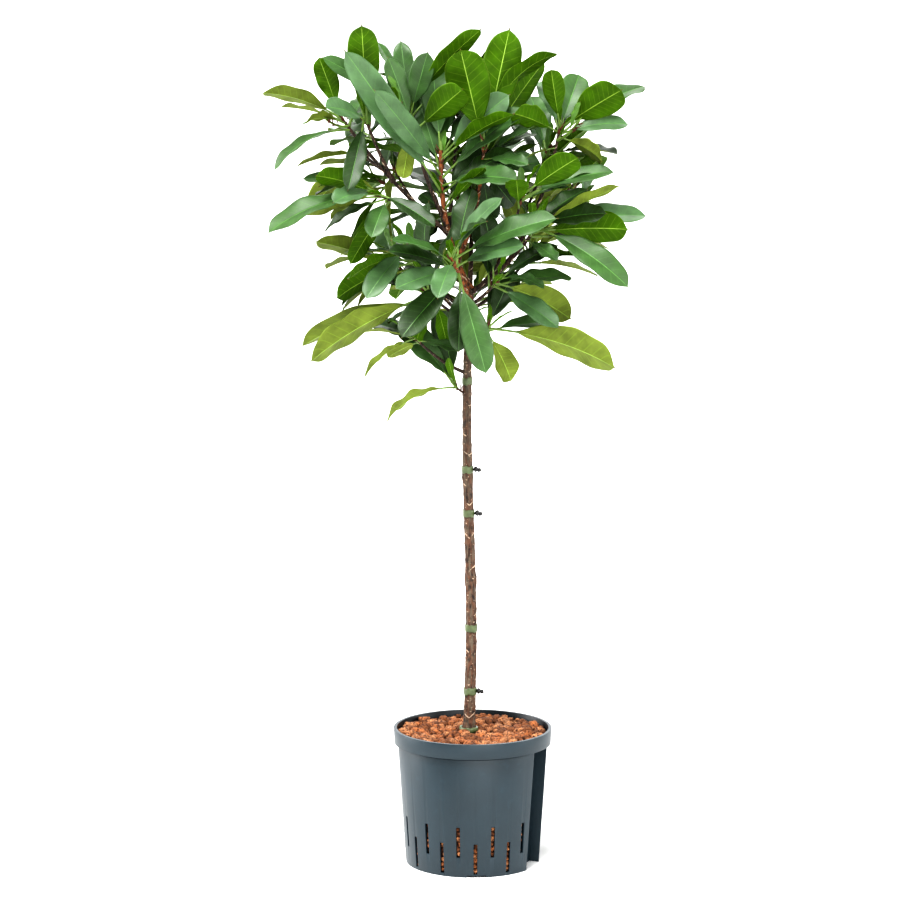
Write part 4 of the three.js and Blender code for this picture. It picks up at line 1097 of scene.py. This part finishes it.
class FIG_OT_pot(bpy.types.Operator):
    """Models the culture pot with its collar, gauge groove and drain slots"""

    bl_idname = "fig.pot"
    bl_label = "Culture pot"

    def execute(self, context):
        sizes = context.scene.fig_pot
        collar_foot = sizes.height - sizes.collar_height
        pot = turned_solid("culture_pot", [
            (sizes.body_foot_radius, 0.0), (sizes.body_top_radius, collar_foot - sizes.undercut),
            (sizes.body_top_radius - sizes.undercut, collar_foot - sizes.undercut),
            (sizes.body_top_radius - sizes.undercut, collar_foot),
            (sizes.rim_radius - COLLAR_TAPER, collar_foot), (sizes.rim_radius, sizes.height)], POT_SIDES)
        hollow = turned_solid("hollow", inner_rings(sizes, sizes.height + BEYOND), POT_SIDES)
        ledge = collar_foot + sizes.wall
        cut(hollow, radial_box(
            sizes.groove_heading, sizes.groove_floor - sizes.wall, sizes.rim_radius + BEYOND,
            sizes.groove_width + 2 * sizes.wall, -BEYOND, ledge))
        cut(pot, radial_box(
            sizes.groove_heading, sizes.groove_floor, sizes.rim_radius + BEYOND, sizes.groove_width, -BEYOND,
            collar_foot))
        cut(pot, hollow)
        for heading, foot in slot_places(sizes):
            near = sizes.body_foot_radius - 3 * sizes.wall
            cut(pot, radial_box(
                heading, near, sizes.rim_radius, sizes.slot_width, foot, foot + sizes.slot_length))
        for heading in FOOT_GAPS:
            cut(pot, radial_box(
                math.radians(heading), sizes.body_foot_radius - 2 * sizes.wall, sizes.rim_radius,
                FOOT_GAP_WIDTH, -BEYOND, FOOT_GAP_HEIGHT))
        self.finish(pot, sizes)
        settle(pot, [moulded_polypropylene(context.scene.fig_colours)], ["pot"])
        return {"FINISHED"}

    def finish(self, pot, sizes):
        """Rounds the moulded edges."""
        select_only(pot)
        bevel = pot.modifiers.new("edges", "BEVEL")
        bevel.width = sizes.edge
        bevel.segments = 2
        bevel.limit_method = "ANGLE"
        bevel.angle_limit = BEVEL_ANGLE
        bpy.ops.object.modifier_apply(modifier=bevel.name)
        bpy.ops.object.shade_smooth_by_angle(angle=SMOOTH_ANGLE)


STONE_CUTS = 3


def stone_shape():
    """The corners and quads of a cube whose faces are cut in four, for a small stone."""
    steps = np.linspace(-1, 1, STONE_CUTS + 1)
    corners, faces = {}, []
    for axis in range(3):
        for side in (-1, 1):
            grid = [[None] * (STONE_CUTS + 1) for _ in steps]
            for i, a in enumerate(steps):
                for j, b in enumerate(steps):
                    corner = [0.0, 0.0, 0.0]
                    corner[axis], corner[(axis + 1) % 3], corner[(axis + 2) % 3] = side, a, b
                    grid[i][j] = corners.setdefault(tuple(corner), len(corners))
            for i in range(STONE_CUTS):
                for j in range(STONE_CUTS):
                    face = [grid[i][j], grid[i + 1][j], grid[i + 1][j + 1], grid[i][j + 1]]
                    faces.append(face if side > 0 else face[::-1])
    return np.array(list(corners)), np.array(faces)


STONE = stone_shape()
STONE_FINISHES = 3
# The lumps of a granule: how high, and how many of them round it
STONE_LUMPS = ((0.45, 1.5), (0.35, 3.9))
# Its least size along each axis as a share of the mean, and the most that is added to that by chance
STONE_SQUASH = ((0.8, 0.4), (0.75, 0.3), (0.62, 0.25))
STONE_LEAN = 0.5


def add_stone(skin, random, place, size):
    """One irregular granule, lumpy and turned at random."""
    corners, faces = STONE
    directions = corners / np.linalg.norm(corners, axis=1)[:, None]
    seed = 100 * random()
    lumps = np.array([
        sum((depth * noise.noise(Vector(d * count + seed)) for depth, count in STONE_LUMPS), 1)
        for d in directions])
    squash = np.array([least + more * random() for least, more in STONE_SQUASH])
    turn, lean = 2 * math.pi * random(), STONE_LEAN * (random() - 0.5)
    points = directions * lumps[:, None] * squash * size / 2
    points = points @ np.array([
        [math.cos(turn), math.sin(turn), 0], [-math.sin(turn), math.cos(turn), 0], [0, 0, 1]])
    points = points @ np.array([
        [1, 0, 0], [0, math.cos(lean), math.sin(lean)], [0, -math.sin(lean), math.cos(lean)]])
    skin.add(points + place, faces, int(STONE_FINISHES * random()))


# The granules, in millimetres: two layers by their height off the fill level and turn in degrees, how
# far each granule strays aside and up, how they vary, how far they keep in from the rim as a share of
# their size, and the room that they leave round the trunk
LAYERS = ((-4.5, 0), (0.8, 70))
STRAY_ASIDE = 2.5
STRAY_UP = 2.6
STONE_VARIATION = 0.9
RIM_ROOM = 0.45
TRUNK_ROOM = 15
# The bed under them, in metres: its gap to the pot's wall and how far it lies below the fill level
BED_SIDES = 96
BED_GAP = 0.004
BED_DROP = 0.001
# Those behind each slot: how many, how deep behind the wall and how far aside in metres, and how big
SLOT_STONES = 6
SLOT_STONE_DEPTH = 0.0052
SLOT_STONE_STRAY = 0.004
SLOT_STONE_SHARE = 0.82


class FIG_OT_granules(bpy.types.Operator):
    """Lays the clay granules: a dark bed, the top layers and those behind the slots"""

    bl_idname = "fig.granules"
    bl_label = "Clay granules"

    def execute(self, context):
        sizes, pot = context.scene.fig_granules, context.scene.fig_pot
        colours = context.scene.fig_colours
        bed = turned_solid("granule_bed", inner_rings(pot, sizes.level - BED_DROP, BED_GAP), BED_SIDES)
        wall = pot.wall + BED_GAP
        cut(bed, radial_box(
            pot.groove_heading, pot.groove_floor - wall, pot.rim_radius + BEYOND,
            pot.groove_width + 2 * wall, -BEYOND, pot.height - pot.collar_height + wall))
        # The dark bed under the granules is painted shade that shows in the gaps between them
        settle(bed, [smooth_skin("damp_clay", colours.clay_gap_shade, 0.9, 6, 0.8)], ["clay_granules"])
        skin = Skin()
        random = seeded_random(sizes.seed)
        size, spacing = sizes.size / MM, sizes.spacing / MM
        rim = (pot.rim_radius - pot.collar_thickness) / MM - RIM_ROOM * size
        count = int(math.pi * (rim / spacing) ** 2)
        for lift, turn in LAYERS:
            for i in range(count):
                radius = rim * math.sqrt((i + 0.5) / count)
                heading = math.radians(i * GOLDEN_ANGLE + turn)
                place = np.array([
                    radius * math.cos(heading), radius * math.sin(heading), sizes.level / MM + lift])
                place += [stray * (random() - 0.5) for stray in (STRAY_ASIDE, STRAY_ASIDE, STRAY_UP)]
                if np.hypot(place[0] - TRUNK_X, place[1]) > TRUNK_ROOM:
                    add_stone(skin, random, place, size * varied(random, STONE_VARIATION))
        self.fill_slots(skin, random, pot, size)
        skin.make("granules", [
            fired_clay("fired_clay", colours.clay, colours),
            fired_clay("fired_clay_dusty", colours.clay_dust, colours),
            fired_clay("fired_clay_brown", shaded(colours.clay, 0.55), colours),
        ], ["clay_granules"])
        return {"FINISHED"}

    def fill_slots(self, skin, random, pot, size):
        """Stones that show through the drain slots."""
        slope = (pot.body_top_radius - pot.body_foot_radius) / (pot.height - pot.collar_height)
        for heading, foot in slot_places(pot):
            for i in range(SLOT_STONES):
                height = foot + pot.slot_length * (i + 0.5) / SLOT_STONES
                radius = pot.body_foot_radius + slope * height - pot.wall - SLOT_STONE_DEPTH
                aside = SLOT_STONE_STRAY * (random() - 0.5)
                place = np.array([
                    radius * math.cos(heading) - aside * math.sin(heading),
                    radius * math.sin(heading) + aside * math.cos(heading), height]) / MM
                add_stone(skin, random, place, SLOT_STONE_SHARE * size)


GROWN = {}


def grown_crown(scene):
    """The limbs and leaves that the seeded rule grows from the sizes, grown once for each set of them."""
    key = tuple(value for sizes in (scene.fig_trunk, scene.fig_leaves) for value in sizes.values())
    if key not in GROWN:
        GROWN[key] = Crown(scene.fig_trunk, scene.fig_leaves)
    return GROWN[key]


# The trunk's mesh, its old joints, how much darker and greyer it turns towards the top, and the size of its
# pale spots
TRUNK_STEP = 1.5
TRUNK_SIDES = 48
JOINT_SPACING = 23
JOINT_SWELL = 0.45
JOINT_REACH = 1.6
TRUNK_GREYING = 0.45
TRUNK_SPOTS = 3.4
# Its ridges, lumps and cracks: depth, number round the trunk, length up it and place in the noise
BARK_RELIEF = ((1.1, 3.2, 26, 0), (0.8, 1.6, 9, 40), (0.5, 7, 4, 90))


class FIG_OT_trunk(bpy.types.Operator):
    """Makes the trunk with its bark's ridges, old leaf scars and flared foot"""

    bl_idname = "fig.trunk"
    bl_label = "Trunk"

    def execute(self, context):
        sizes = context.scene.fig_trunk
        trunk = grown_crown(context.scene).trunk
        skin = Skin()
        count = int(trunk.length / TRUNK_STEP)
        turns = turns_round(TRUNK_SIDES)
        out = np.stack([np.cos(turns), np.sin(turns), 0 * turns], axis=1)
        rings = []
        for i in range(count + 1):
            t = i / count
            height = TRUNK_FOOT + t * (TRUNK_TOP - TRUNK_FOOT)
            relief = np.array([self.relief(turn, height) for turn in turns]) * sizes.relief / MM
            joint = (height % JOINT_SPACING) - JOINT_SPACING / 2
            swell = JOINT_SWELL * math.exp(-((joint / JOINT_REACH) ** 2))
            radius = trunk_radius(sizes, height) + swell + relief
            rings.append(trunk.line.point(t) + out * radius[:, None])
        skin.add_tube(np.array(rings))
        colours = context.scene.fig_colours
        bark = fig_bark("fig_bark", colours.bark, colours, TRUNK_SPOTS, JOINT_SPACING, TRUNK_GREYING)
        skin.make("trunk_bark", [bark], ["trunk"])
        return {"FINISHED"}

    def relief(self, turn, height):
        """Height of the bark at a place: long ridges, lumps and fine cracks."""
        x, y = math.cos(turn), math.sin(turn)
        return sum(
            depth * noise.noise(Vector((count * x, count * y, height / length + place)))
            for depth, count, length, place in BARK_RELIEF)


# Each tie's height, thickness and breadth in millimetres, and whether it has a tail
TIES = {
    "tie_1": (186.5, 3.8, 7.5, False), "tie_2": (241, 1.3, 10, True), "tie_3": (330, 1.3, 10, False),
    "tie_4": (491, 1.3, 10, True), "tie_5": (552, 1.3, 10, True), "tie_6": (674, 1.3, 10, False)}
TIE_SIDES = 40
TIE_CORNERS = 12
TIE_SQUARENESS = 0.6
LOOSENESS = 0.2
# A tail from its foot beside the trunk: its reach, its bow, its radius, and its knobs by height, place
# along it and length
TAIL_FOOT = np.array([6.5, -2, -1])
TAIL_REACH = np.array([12.5, -2, -1])
TAIL_BOW = np.array([0, 0, 1.6])
TAIL_RADIUS = 0.9
TAIL_KNOBS = ((3.4, 0.4, 0.2), (2.6, 0.8, 0.14))
TAIL_LUMPS = 0.3
TAIL_LUMP_COUNT = 5
TAIL_END = 0.02
TAIL_STEPS = 28
TAIL_SIDES = 12


def superellipse(wave):
    """A sine or cosine squared off, for a section with rounded corners."""
    return np.sign(wave) * np.abs(wave) ** TIE_SQUARENESS


class FIG_OT_ties(bpy.types.Operator):
    """Makes the soft ties round the trunk, some with a twisted tail"""

    bl_idname = "fig.ties"
    bl_label = "Soft ties"

    def execute(self, context):
        colours = context.scene.fig_colours
        tie = smooth_skin("soft_pvc_tie", colours.tie, 0.32, 6, 0.3)
        clip = smooth_skin("black_clip", colours.clip, 0.35, 5, 0.1)
        trunk = grown_crown(context.scene).trunk
        for name, (height, thickness, breadth, has_tail) in TIES.items():
            skin = Skin()
            self.add_band(skin, context.scene.fig_trunk, trunk, height, thickness, breadth)
            if has_tail:
                self.add_tail(skin, trunk, height)
            skin.make(f"soft_{name}", [tie, clip], [name])
        return {"FINISHED"}

    def add_band(self, skin, sizes, trunk, height, thickness, breadth):
        """A band with rounded edges, a little uneven, that hugs the trunk."""
        centre = trunk.line.point((height - TRUNK_FOOT) / (TRUNK_TOP - TRUNK_FOOT))
        section = turns_round(TIE_CORNERS)
        rings = []
        for turn in turns_round(TIE_SIDES):
            wobble = noise.noise(Vector((2 * math.cos(turn), 2 * math.sin(turn), height)))
            radius = trunk_radius(sizes, height) + thickness / 2 + LOOSENESS * thickness * wobble
            across = radius + thickness / 2 * superellipse(np.cos(section))
            up = breadth * (superellipse(np.sin(section)) / 2 + LOOSENESS * wobble)
            rings.append(np.stack([across * math.cos(turn), across * math.sin(turn), up], axis=1) + centre)
        rings = np.array(rings)
        corner = np.arange(len(rings) * TIE_CORNERS).reshape(-1, TIE_CORNERS)
        ahead = np.roll(corner, -1, axis=0)
        faces = np.stack([corner, ahead, np.roll(ahead, -1, axis=1), np.roll(corner, -1, axis=1)], axis=2)
        skin.add(rings.reshape(-1, 3), faces.reshape(-1, 4), 0)

    def add_tail(self, skin, trunk, height):
        """A short twisted tail to the right that ends in a dark knob."""
        foot = trunk.line.point((height - TRUNK_FOOT) / (TRUNK_TOP - TRUNK_FOOT)) + TAIL_FOOT
        tail = Limb(BowedLine(foot, foot + TAIL_REACH, TAIL_BOW))
        rings = []
        for i in range(TAIL_STEPS + 1):
            t = i / TAIL_STEPS
            radius = TAIL_RADIUS + sum(
                knob * math.exp(-(((t - place) / length) ** 2)) for knob, place, length in TAIL_KNOBS)
            end = math.sqrt(max(1 - t**8, TAIL_END))
            lumps = [
                1 + TAIL_LUMPS * noise.noise(Vector((k, TAIL_LUMP_COUNT * t, height)))
                for k in range(TAIL_SIDES)]
            rings.append(tail.ring(t, TAIL_SIDES, radius * end * np.array(lumps)))
        skin.add_tube(np.array(rings), 1)


# The boughs' and shoots' mesh, the scars of old leaves that ring them, their swollen feet and lumps,
# and the masses whose young bark is orange-brown
BOUGH_STEP = 1.6
BOUGH_SIDES = 18
BOUGH_OVERLAP = 2
SHOOT_SIDES = 12
SCAR_SPACING = 11
SCAR_SWELL = 0.12
SCAR_REACH = 1.2
FOOT_SWELL = 0.55
FOOT_REACH = 1.6
BARK_LUMPS = 0.09
LUMP_CLOSENESS = 0.22
ORANGE_LIMBS = ("leader", "front", "centre")
BOUGH_SPOTS = 2.6
SHOOT_SPOTS = 2.2


def limb_rings(limb, t0, t1, sides):
    """Rings along a limb, swollen at its foot and ringed with the scars of old leaves."""
    count = max(int((t1 - t0) * limb.length / BOUGH_STEP), 4)
    rings = []
    for i in range(count + 1):
        t = t0 + (t1 - t0) * i / count
        along = t * limb.length
        base = limb.radius_at(t)
        scar = (along % SCAR_SPACING) - SCAR_SPACING / 2
        radius = base * (1 + SCAR_SWELL * math.exp(-((scar / SCAR_REACH) ** 2)))
        radius *= 1 + FOOT_SWELL * math.exp(-along / (FOOT_REACH * base))
        centre = Vector(limb.line.point(t)) * LUMP_CLOSENESS
        lumps = [1 + BARK_LUMPS * noise.noise(centre + Vector((k, 0, 0))) for k in range(sides // 3)]
        rings.append(limb.ring(t, sides, radius * np.repeat(lumps, 3)[:sides]))
    return np.array(rings)


class FIG_OT_boughs(bpy.types.Operator):
    """Makes the main boughs with ringed young bark"""

    bl_idname = "fig.boughs"
    bl_label = "Boughs"

    def execute(self, context):
        skin = Skin()
        crown = grown_crown(context.scene)
        nodes = []
        for row in MASSES:
            limb = crown.limbs[row.name]
            if limb.end > 0:
                rings = limb_rings(limb, 0, limb.end + BOUGH_OVERLAP / limb.length, BOUGH_SIDES)
                skin.add_tube(rings, int(row.name not in ORANGE_LIMBS))
                nodes.append(f"bough_{row.name}")
        colours = context.scene.fig_colours
        skin.make("bough_bark", [
            fig_bark("young_fig_bark", colours.shoot, colours, BOUGH_SPOTS, SCAR_SPACING),
            fig_bark("dark_fig_bark", colours.shoot_dark, colours, SHOOT_SPOTS, SCAR_SPACING),
        ], nodes)
        return {"FINISHED"}


# A bud: its length, how far its line is pushed on, how much wider than the stem's tip it is, the part of a
# half wave that its outline follows, and its scales by their number, the first one's place and the distance
# between them down the stem, how deep they sit, their shortest length and how much longer they may be
BUD_LENGTH = 13
BUD_PUSH = 0.1
BUD_WIDTH = 1.12
BUD_WAVE = (0.42, 0.57)
BUD_POINT = 0.03
BUD_STEPS = 12
BUD_SIDES = 10
BUD_SEED = 900
SCALES = 4
SCALE_START = 0.3
SCALE_SPACING = 5
SCALE_SEAT = 0.7
SCALE_LENGTHS = (9, 4)
# A papery scale: how far it leans out, how wide and how bowed it is for its length, the part of a half
# wave that its outline follows, its steps, and its section from edge to edge and back as places across
# and lifts, with how much it cups
SCALE_LEAN = 0.55
SCALE_HALF = 0.24
SCALE_BOW = 0.1
SCALE_WAVE = (0.25, 0.74)
SCALE_STEPS = 6
SCALE_PLACES = np.array([-1, -0.5, 0, 0.5, 1, 0.5, 0, -0.5])
SCALE_LIFTS = np.array([0, 0.2, 0.25, 0.2, 0, -0.2, -0.25, -0.2])
SCALE_CUP = 0.35


class FIG_OT_shoots(bpy.types.Operator):
    """Makes the stems and twigs inside the foliage, with their buds and papery scales"""

    bl_idname = "fig.shoots"
    bl_label = "Shoots and buds"

    def execute(self, context):
        skin = Skin()
        crown = grown_crown(context.scene)
        for index, row in enumerate(MASSES):
            limb = crown.limbs[row.name]
            skin.add_tube(limb_rings(limb, limb.end, 1, SHOOT_SIDES), 0 if row.name in ORANGE_LIMBS else 3)
            self.add_bud(skin, limb, index)
            for twig in crown.twigs[row.name]:
                skin.add_tube(limb_rings(twig, 0, 1, SHOOT_SIDES), 1)
                self.add_bud(skin, twig, index)
        colours = context.scene.fig_colours
        skin.make("shoots", [
            fig_bark("stem_bark", colours.shoot, colours, SHOOT_SPOTS, SCAR_SPACING),
            smooth_skin("green_twig", colours.stalk, 0.5, 7, 0.3),
            smooth_skin("papery_bud_scale", colours.bud, 0.75, 4, 0.4),
            fig_bark("dark_stem_bark", colours.shoot_dark, colours, SHOOT_SPOTS, SCAR_SPACING),
        ], [f"foliage_{row.name}" for row in MASSES])
        return {"FINISHED"}

    def add_bud(self, skin, limb, index):
        """A pointed bud at the tip, with brown scales left round the last joints."""
        foot, along = limb.line.point(1), limb.line.tangent(1)
        bud = Limb(BowedLine(foot - along, foot + along * BUD_LENGTH, BUD_PUSH * along))
        base = limb.radius_at(1) * BUD_WIDTH
        shares = [i / BUD_STEPS for i in range(BUD_STEPS + 1)]
        radii = [
            base * max(math.sin(math.pi * (BUD_WAVE[0] + BUD_WAVE[1] * t)), BUD_POINT) for t in shares]
        skin.add_tube(np.array([bud.ring(t, BUD_SIDES, r) for t, r in zip(shares, radii)]), 1)
        random = seeded_random(index + BUD_SEED)
        for i in range(SCALES):
            out = off_axis(along, i * GOLDEN_ANGLE + 360 * random(), 90)
            place = 1 - SCALE_SPACING * (i + SCALE_START) / limb.length
            root = limb.line.point(place) + out * base * SCALE_SEAT
            length = SCALE_LENGTHS[0] + SCALE_LENGTHS[1] * random()
            self.add_scale(skin, root, unit(along + SCALE_LEAN * out), out, length)

    def add_scale(self, skin, root, direction, out, length):
        """One papery scale: a thin cupped blade that ends in a point."""
        across = unit(np.cross(direction, out))
        face = np.cross(across, direction)
        rings = []
        for i in range(SCALE_STEPS + 1):
            t = i / SCALE_STEPS
            half = SCALE_HALF * length * math.sin(math.pi * (SCALE_WAVE[0] + SCALE_WAVE[1] * t))
            middle = root + direction * length * t + face * SCALE_BOW * length * math.sin(math.pi * t)
            lift = SCALE_LIFTS - SCALE_CUP * half * SCALE_PLACES**2
            rings.append(middle + np.outer(SCALE_PLACES * half, across) + np.outer(lift, face))
        skin.add_tube(np.array(rings), 2)


# A spray's letters: blue-green, middle and deep upper faces, deep being painted shade, and leaves whose
# underside is lit by painted light (L) or darkened by painted shade (D)
UPPER_TINTS = {"b": "blue", "m": "middle", "d": "deep"}
SPRAY_TINTS = {
    "leader": "bbmbDmDdmmmdd", "left_top": "LDLLm", "left_high": "Dbd", "left_inner": "DmmmDLmm",
    "left_mid": "mLbDmdLDD", "left_low": "DDbL", "left_under": "LLDD", "low_left": "LLLm", "trunk_leaf": "L",
    "low_right": "LL", "right_low": "mLb", "right": "mDbdLm", "right_mid": "DDmm", "centre": "DDDmmdmd",
    "right_top": "DDDmbLmL", "front": "mbbmddmbbdd"}
BACK_TINTS = "dmb"
TINT_SEED = 300
# Where the other leaves get the deep upper face of painted shade, and the shares of undersides in painted
# light on low masses and on level leaves near the crown's outline
INNER_REACH = 0.66
LOW_BUD = 870
LIGHT_SHARE_LOW = 0.85
LIGHT_SHARE_LEVEL = 0.7
LIGHT_REACH = 0.85
LEVEL = 0.35


class FIG_OT_leaves(bpy.types.Operator):
    """Makes the leaves, in four pieces by where they lie, with their colours dealt out by spray"""

    bl_idname = "fig.leaves"
    bl_label = "Leaves"

    def execute(self, context):
        materials = leaf_materials(context.scene.fig_colours)
        crown = grown_crown(context.scene)
        for name, members in LEAF_GROUPS.items():
            skin = Skin()
            for index, row in enumerate(MASSES):
                if row.name in members:
                    random = seeded_random(index + TINT_SEED)
                    for number, leaf in enumerate(crown.leaves[row.name]):
                        add_leaf(skin, leaf, *self.tints(row, number, leaf, random()), random)
            skin.make(name, materials, [f"foliage_{member}" for member in members])
        return {"FINISHED"}

    def tints(self, row, number, leaf, chance):
        """The slots of a leaf's faces, by the letters of its spray: in turn on its first leaves and by
        chance on the rest, with painted shade on the upper faces inside the crown, painted light on a share
        of the undersides of low leaves and of level ones near the outline, and fresh ones round the buds."""
        letters = SPRAY_TINTS.get(row.name, BACK_TINTS)
        is_first = number < len(row.leaves)
        letter = letters[number if is_first else int(chance * len(letters))]
        tip = leaf.place(1.0, 0.0, 0.0)
        # Painted shade above on inner leaves, painted light below on low leaves and level ones near the
        # outline
        is_inner = not is_first and in_crown(tip, INNER_REACH)
        is_level = leaf.direction[2] < LEVEL and not in_crown(tip, LIGHT_REACH)
        share = LIGHT_SHARE_LOW if row.bud[2] < LOW_BUD else LIGHT_SHARE_LEVEL if is_level else 0
        is_light = not leaf.young and (letter == "L" if is_first else chance < share)
        upper = "fresh" if leaf.young else "deep" if is_inner else UPPER_TINTS.get(letter, "middle")
        upper, under, above, below, stalk = (LEAF_SLOTS.index(name) for name in (
            upper, "under_lit" if is_light else "under_in_shade", "midrib_above", "midrib_below", "stalk"))
        return upper, under, (above, below), stalk


# The camera as the photo was taken, and soft studio lights by their heading from the camera towards
# the left, their height, softness and strength
CAMERA_PLACE = (-0.0315, -4.03, 1.133)
CAMERA_PITCH = math.radians(7.83)
CAMERA_LENS = 118.4
FLOOR_RADIUS = 300.0
LIGHTS = (
    ("key", 28, 66, 28, 4.8), ("left_fill", 102, 20, 40, 3.0), ("right_fill", -84, 22, 40, 1.7),
    ("front_fill", -14, 10, 50, 2.1), ("back_fill", 190, 28, 50, 1.3))
ROOM_LIGHT = 0.2
BACKDROP = 1.0


class FIG_OT_stage(bpy.types.Operator):
    """Sets the pale floor, the soft lights and the camera"""

    bl_idname = "fig.stage"
    bl_label = "Stage"

    def execute(self, context):
        bpy.ops.object.select_all(action="DESELECT")
        bpy.ops.mesh.primitive_circle_add(vertices=64, radius=FLOOR_RADIUS, fill_type="NGON")
        floor = context.object
        floor.name = "floor"
        paper, _, _ = new_material("pale_studio_paper")
        colour = context.scene.fig_colours.floor
        floor.data.materials.append(finished(paper, {"Base Color": colour, "Roughness": 0.9}))
        for name, heading, height, softness, strength in LIGHTS:
            self.add_light(context, name, math.radians(heading), math.radians(height), softness, strength)
        world = bpy.data.worlds.new("studio")
        world.use_nodes = True
        seen = add_node(world.node_tree, "ShaderNodeLightPath", output="Is Camera Ray")
        strength = add_node(world.node_tree, "ShaderNodeMath", {
            0: seen, 1: BACKDROP - ROOM_LIGHT, 2: ROOM_LIGHT}, operation="MULTIPLY_ADD")
        set_inputs(world.node_tree, world.node_tree.nodes["Background"], {
            "Color": (1, 1, 1, 1), "Strength": strength})
        context.scene.world = world
        context.scene.view_settings.view_transform = "Standard"
        context.scene.view_settings.look = "High Contrast"
        camera = bpy.data.objects.new("camera", bpy.data.cameras.new("camera"))
        camera.data.lens = CAMERA_LENS
        camera.location = CAMERA_PLACE
        camera.rotation_euler = (math.pi / 2 - CAMERA_PITCH, 0, 0)
        context.collection.objects.link(camera)
        context.scene.camera = camera
        return {"FINISHED"}

    def add_light(self, context, name, heading, height, softness, strength):
        """A broad distant light that shines towards the plant."""
        light = bpy.data.lights.new(name, "SUN")
        light.energy, light.angle = strength, math.radians(softness)
        source = Vector((
            -math.sin(heading) * math.cos(height), -math.cos(heading) * math.cos(height), math.sin(height)))
        lamp = bpy.data.objects.new(name, light)
        lamp.rotation_euler = (-source).to_track_quat("-Z", "Y").to_euler()
        context.collection.objects.link(lamp)


class FIG_PT_panel(bpy.types.Panel):
    """The fig's tools and sizes in the sidebar"""

    bl_label = "Potted standard fig"
    bl_idname = "FIG_PT_panel"
    bl_space_type = "VIEW_3D"
    bl_region_type = "UI"
    bl_category = "Fig"

    def draw(self, context):
        for operator in OPERATORS:
            self.layout.operator(operator.bl_idname)
        for group in SETTINGS:
            box = self.layout.box()
            box.label(text=SETTINGS[group].__doc__)
            for name in SETTINGS[group].__annotations__:
                box.prop(getattr(context.scene, group), name)


OPERATORS = (
    FIG_OT_stage, FIG_OT_pot, FIG_OT_granules, FIG_OT_trunk, FIG_OT_ties, FIG_OT_boughs,
    FIG_OT_shoots, FIG_OT_leaves)
SETTINGS = {
    "fig_pot": FigPotSizes, "fig_granules": FigGranuleSizes, "fig_trunk": FigTrunkSizes,
    "fig_leaves": FigLeafSizes, "fig_colours": FigColours}


def register():
    for group in SETTINGS.values():
        bpy.utils.register_class(group)
    for name, group in SETTINGS.items():
        setattr(bpy.types.Scene, name, PointerProperty(type=group))
    for kind in (*OPERATORS, FIG_PT_panel):
        bpy.utils.register_class(kind)


def unregister():
    for kind in (FIG_PT_panel, *reversed(OPERATORS)):
        bpy.utils.unregister_class(kind)
    for name in SETTINGS:
        delattr(bpy.types.Scene, name)
    for group in SETTINGS.values():
        bpy.utils.unregister_class(group)


def main():
    """Makes every piece in order."""
    register()
    for operator in OPERATORS:
        group, name = operator.bl_idname.split(".")
        getattr(getattr(bpy.ops, group), name)()


if __name__ == "__main__":
    main()
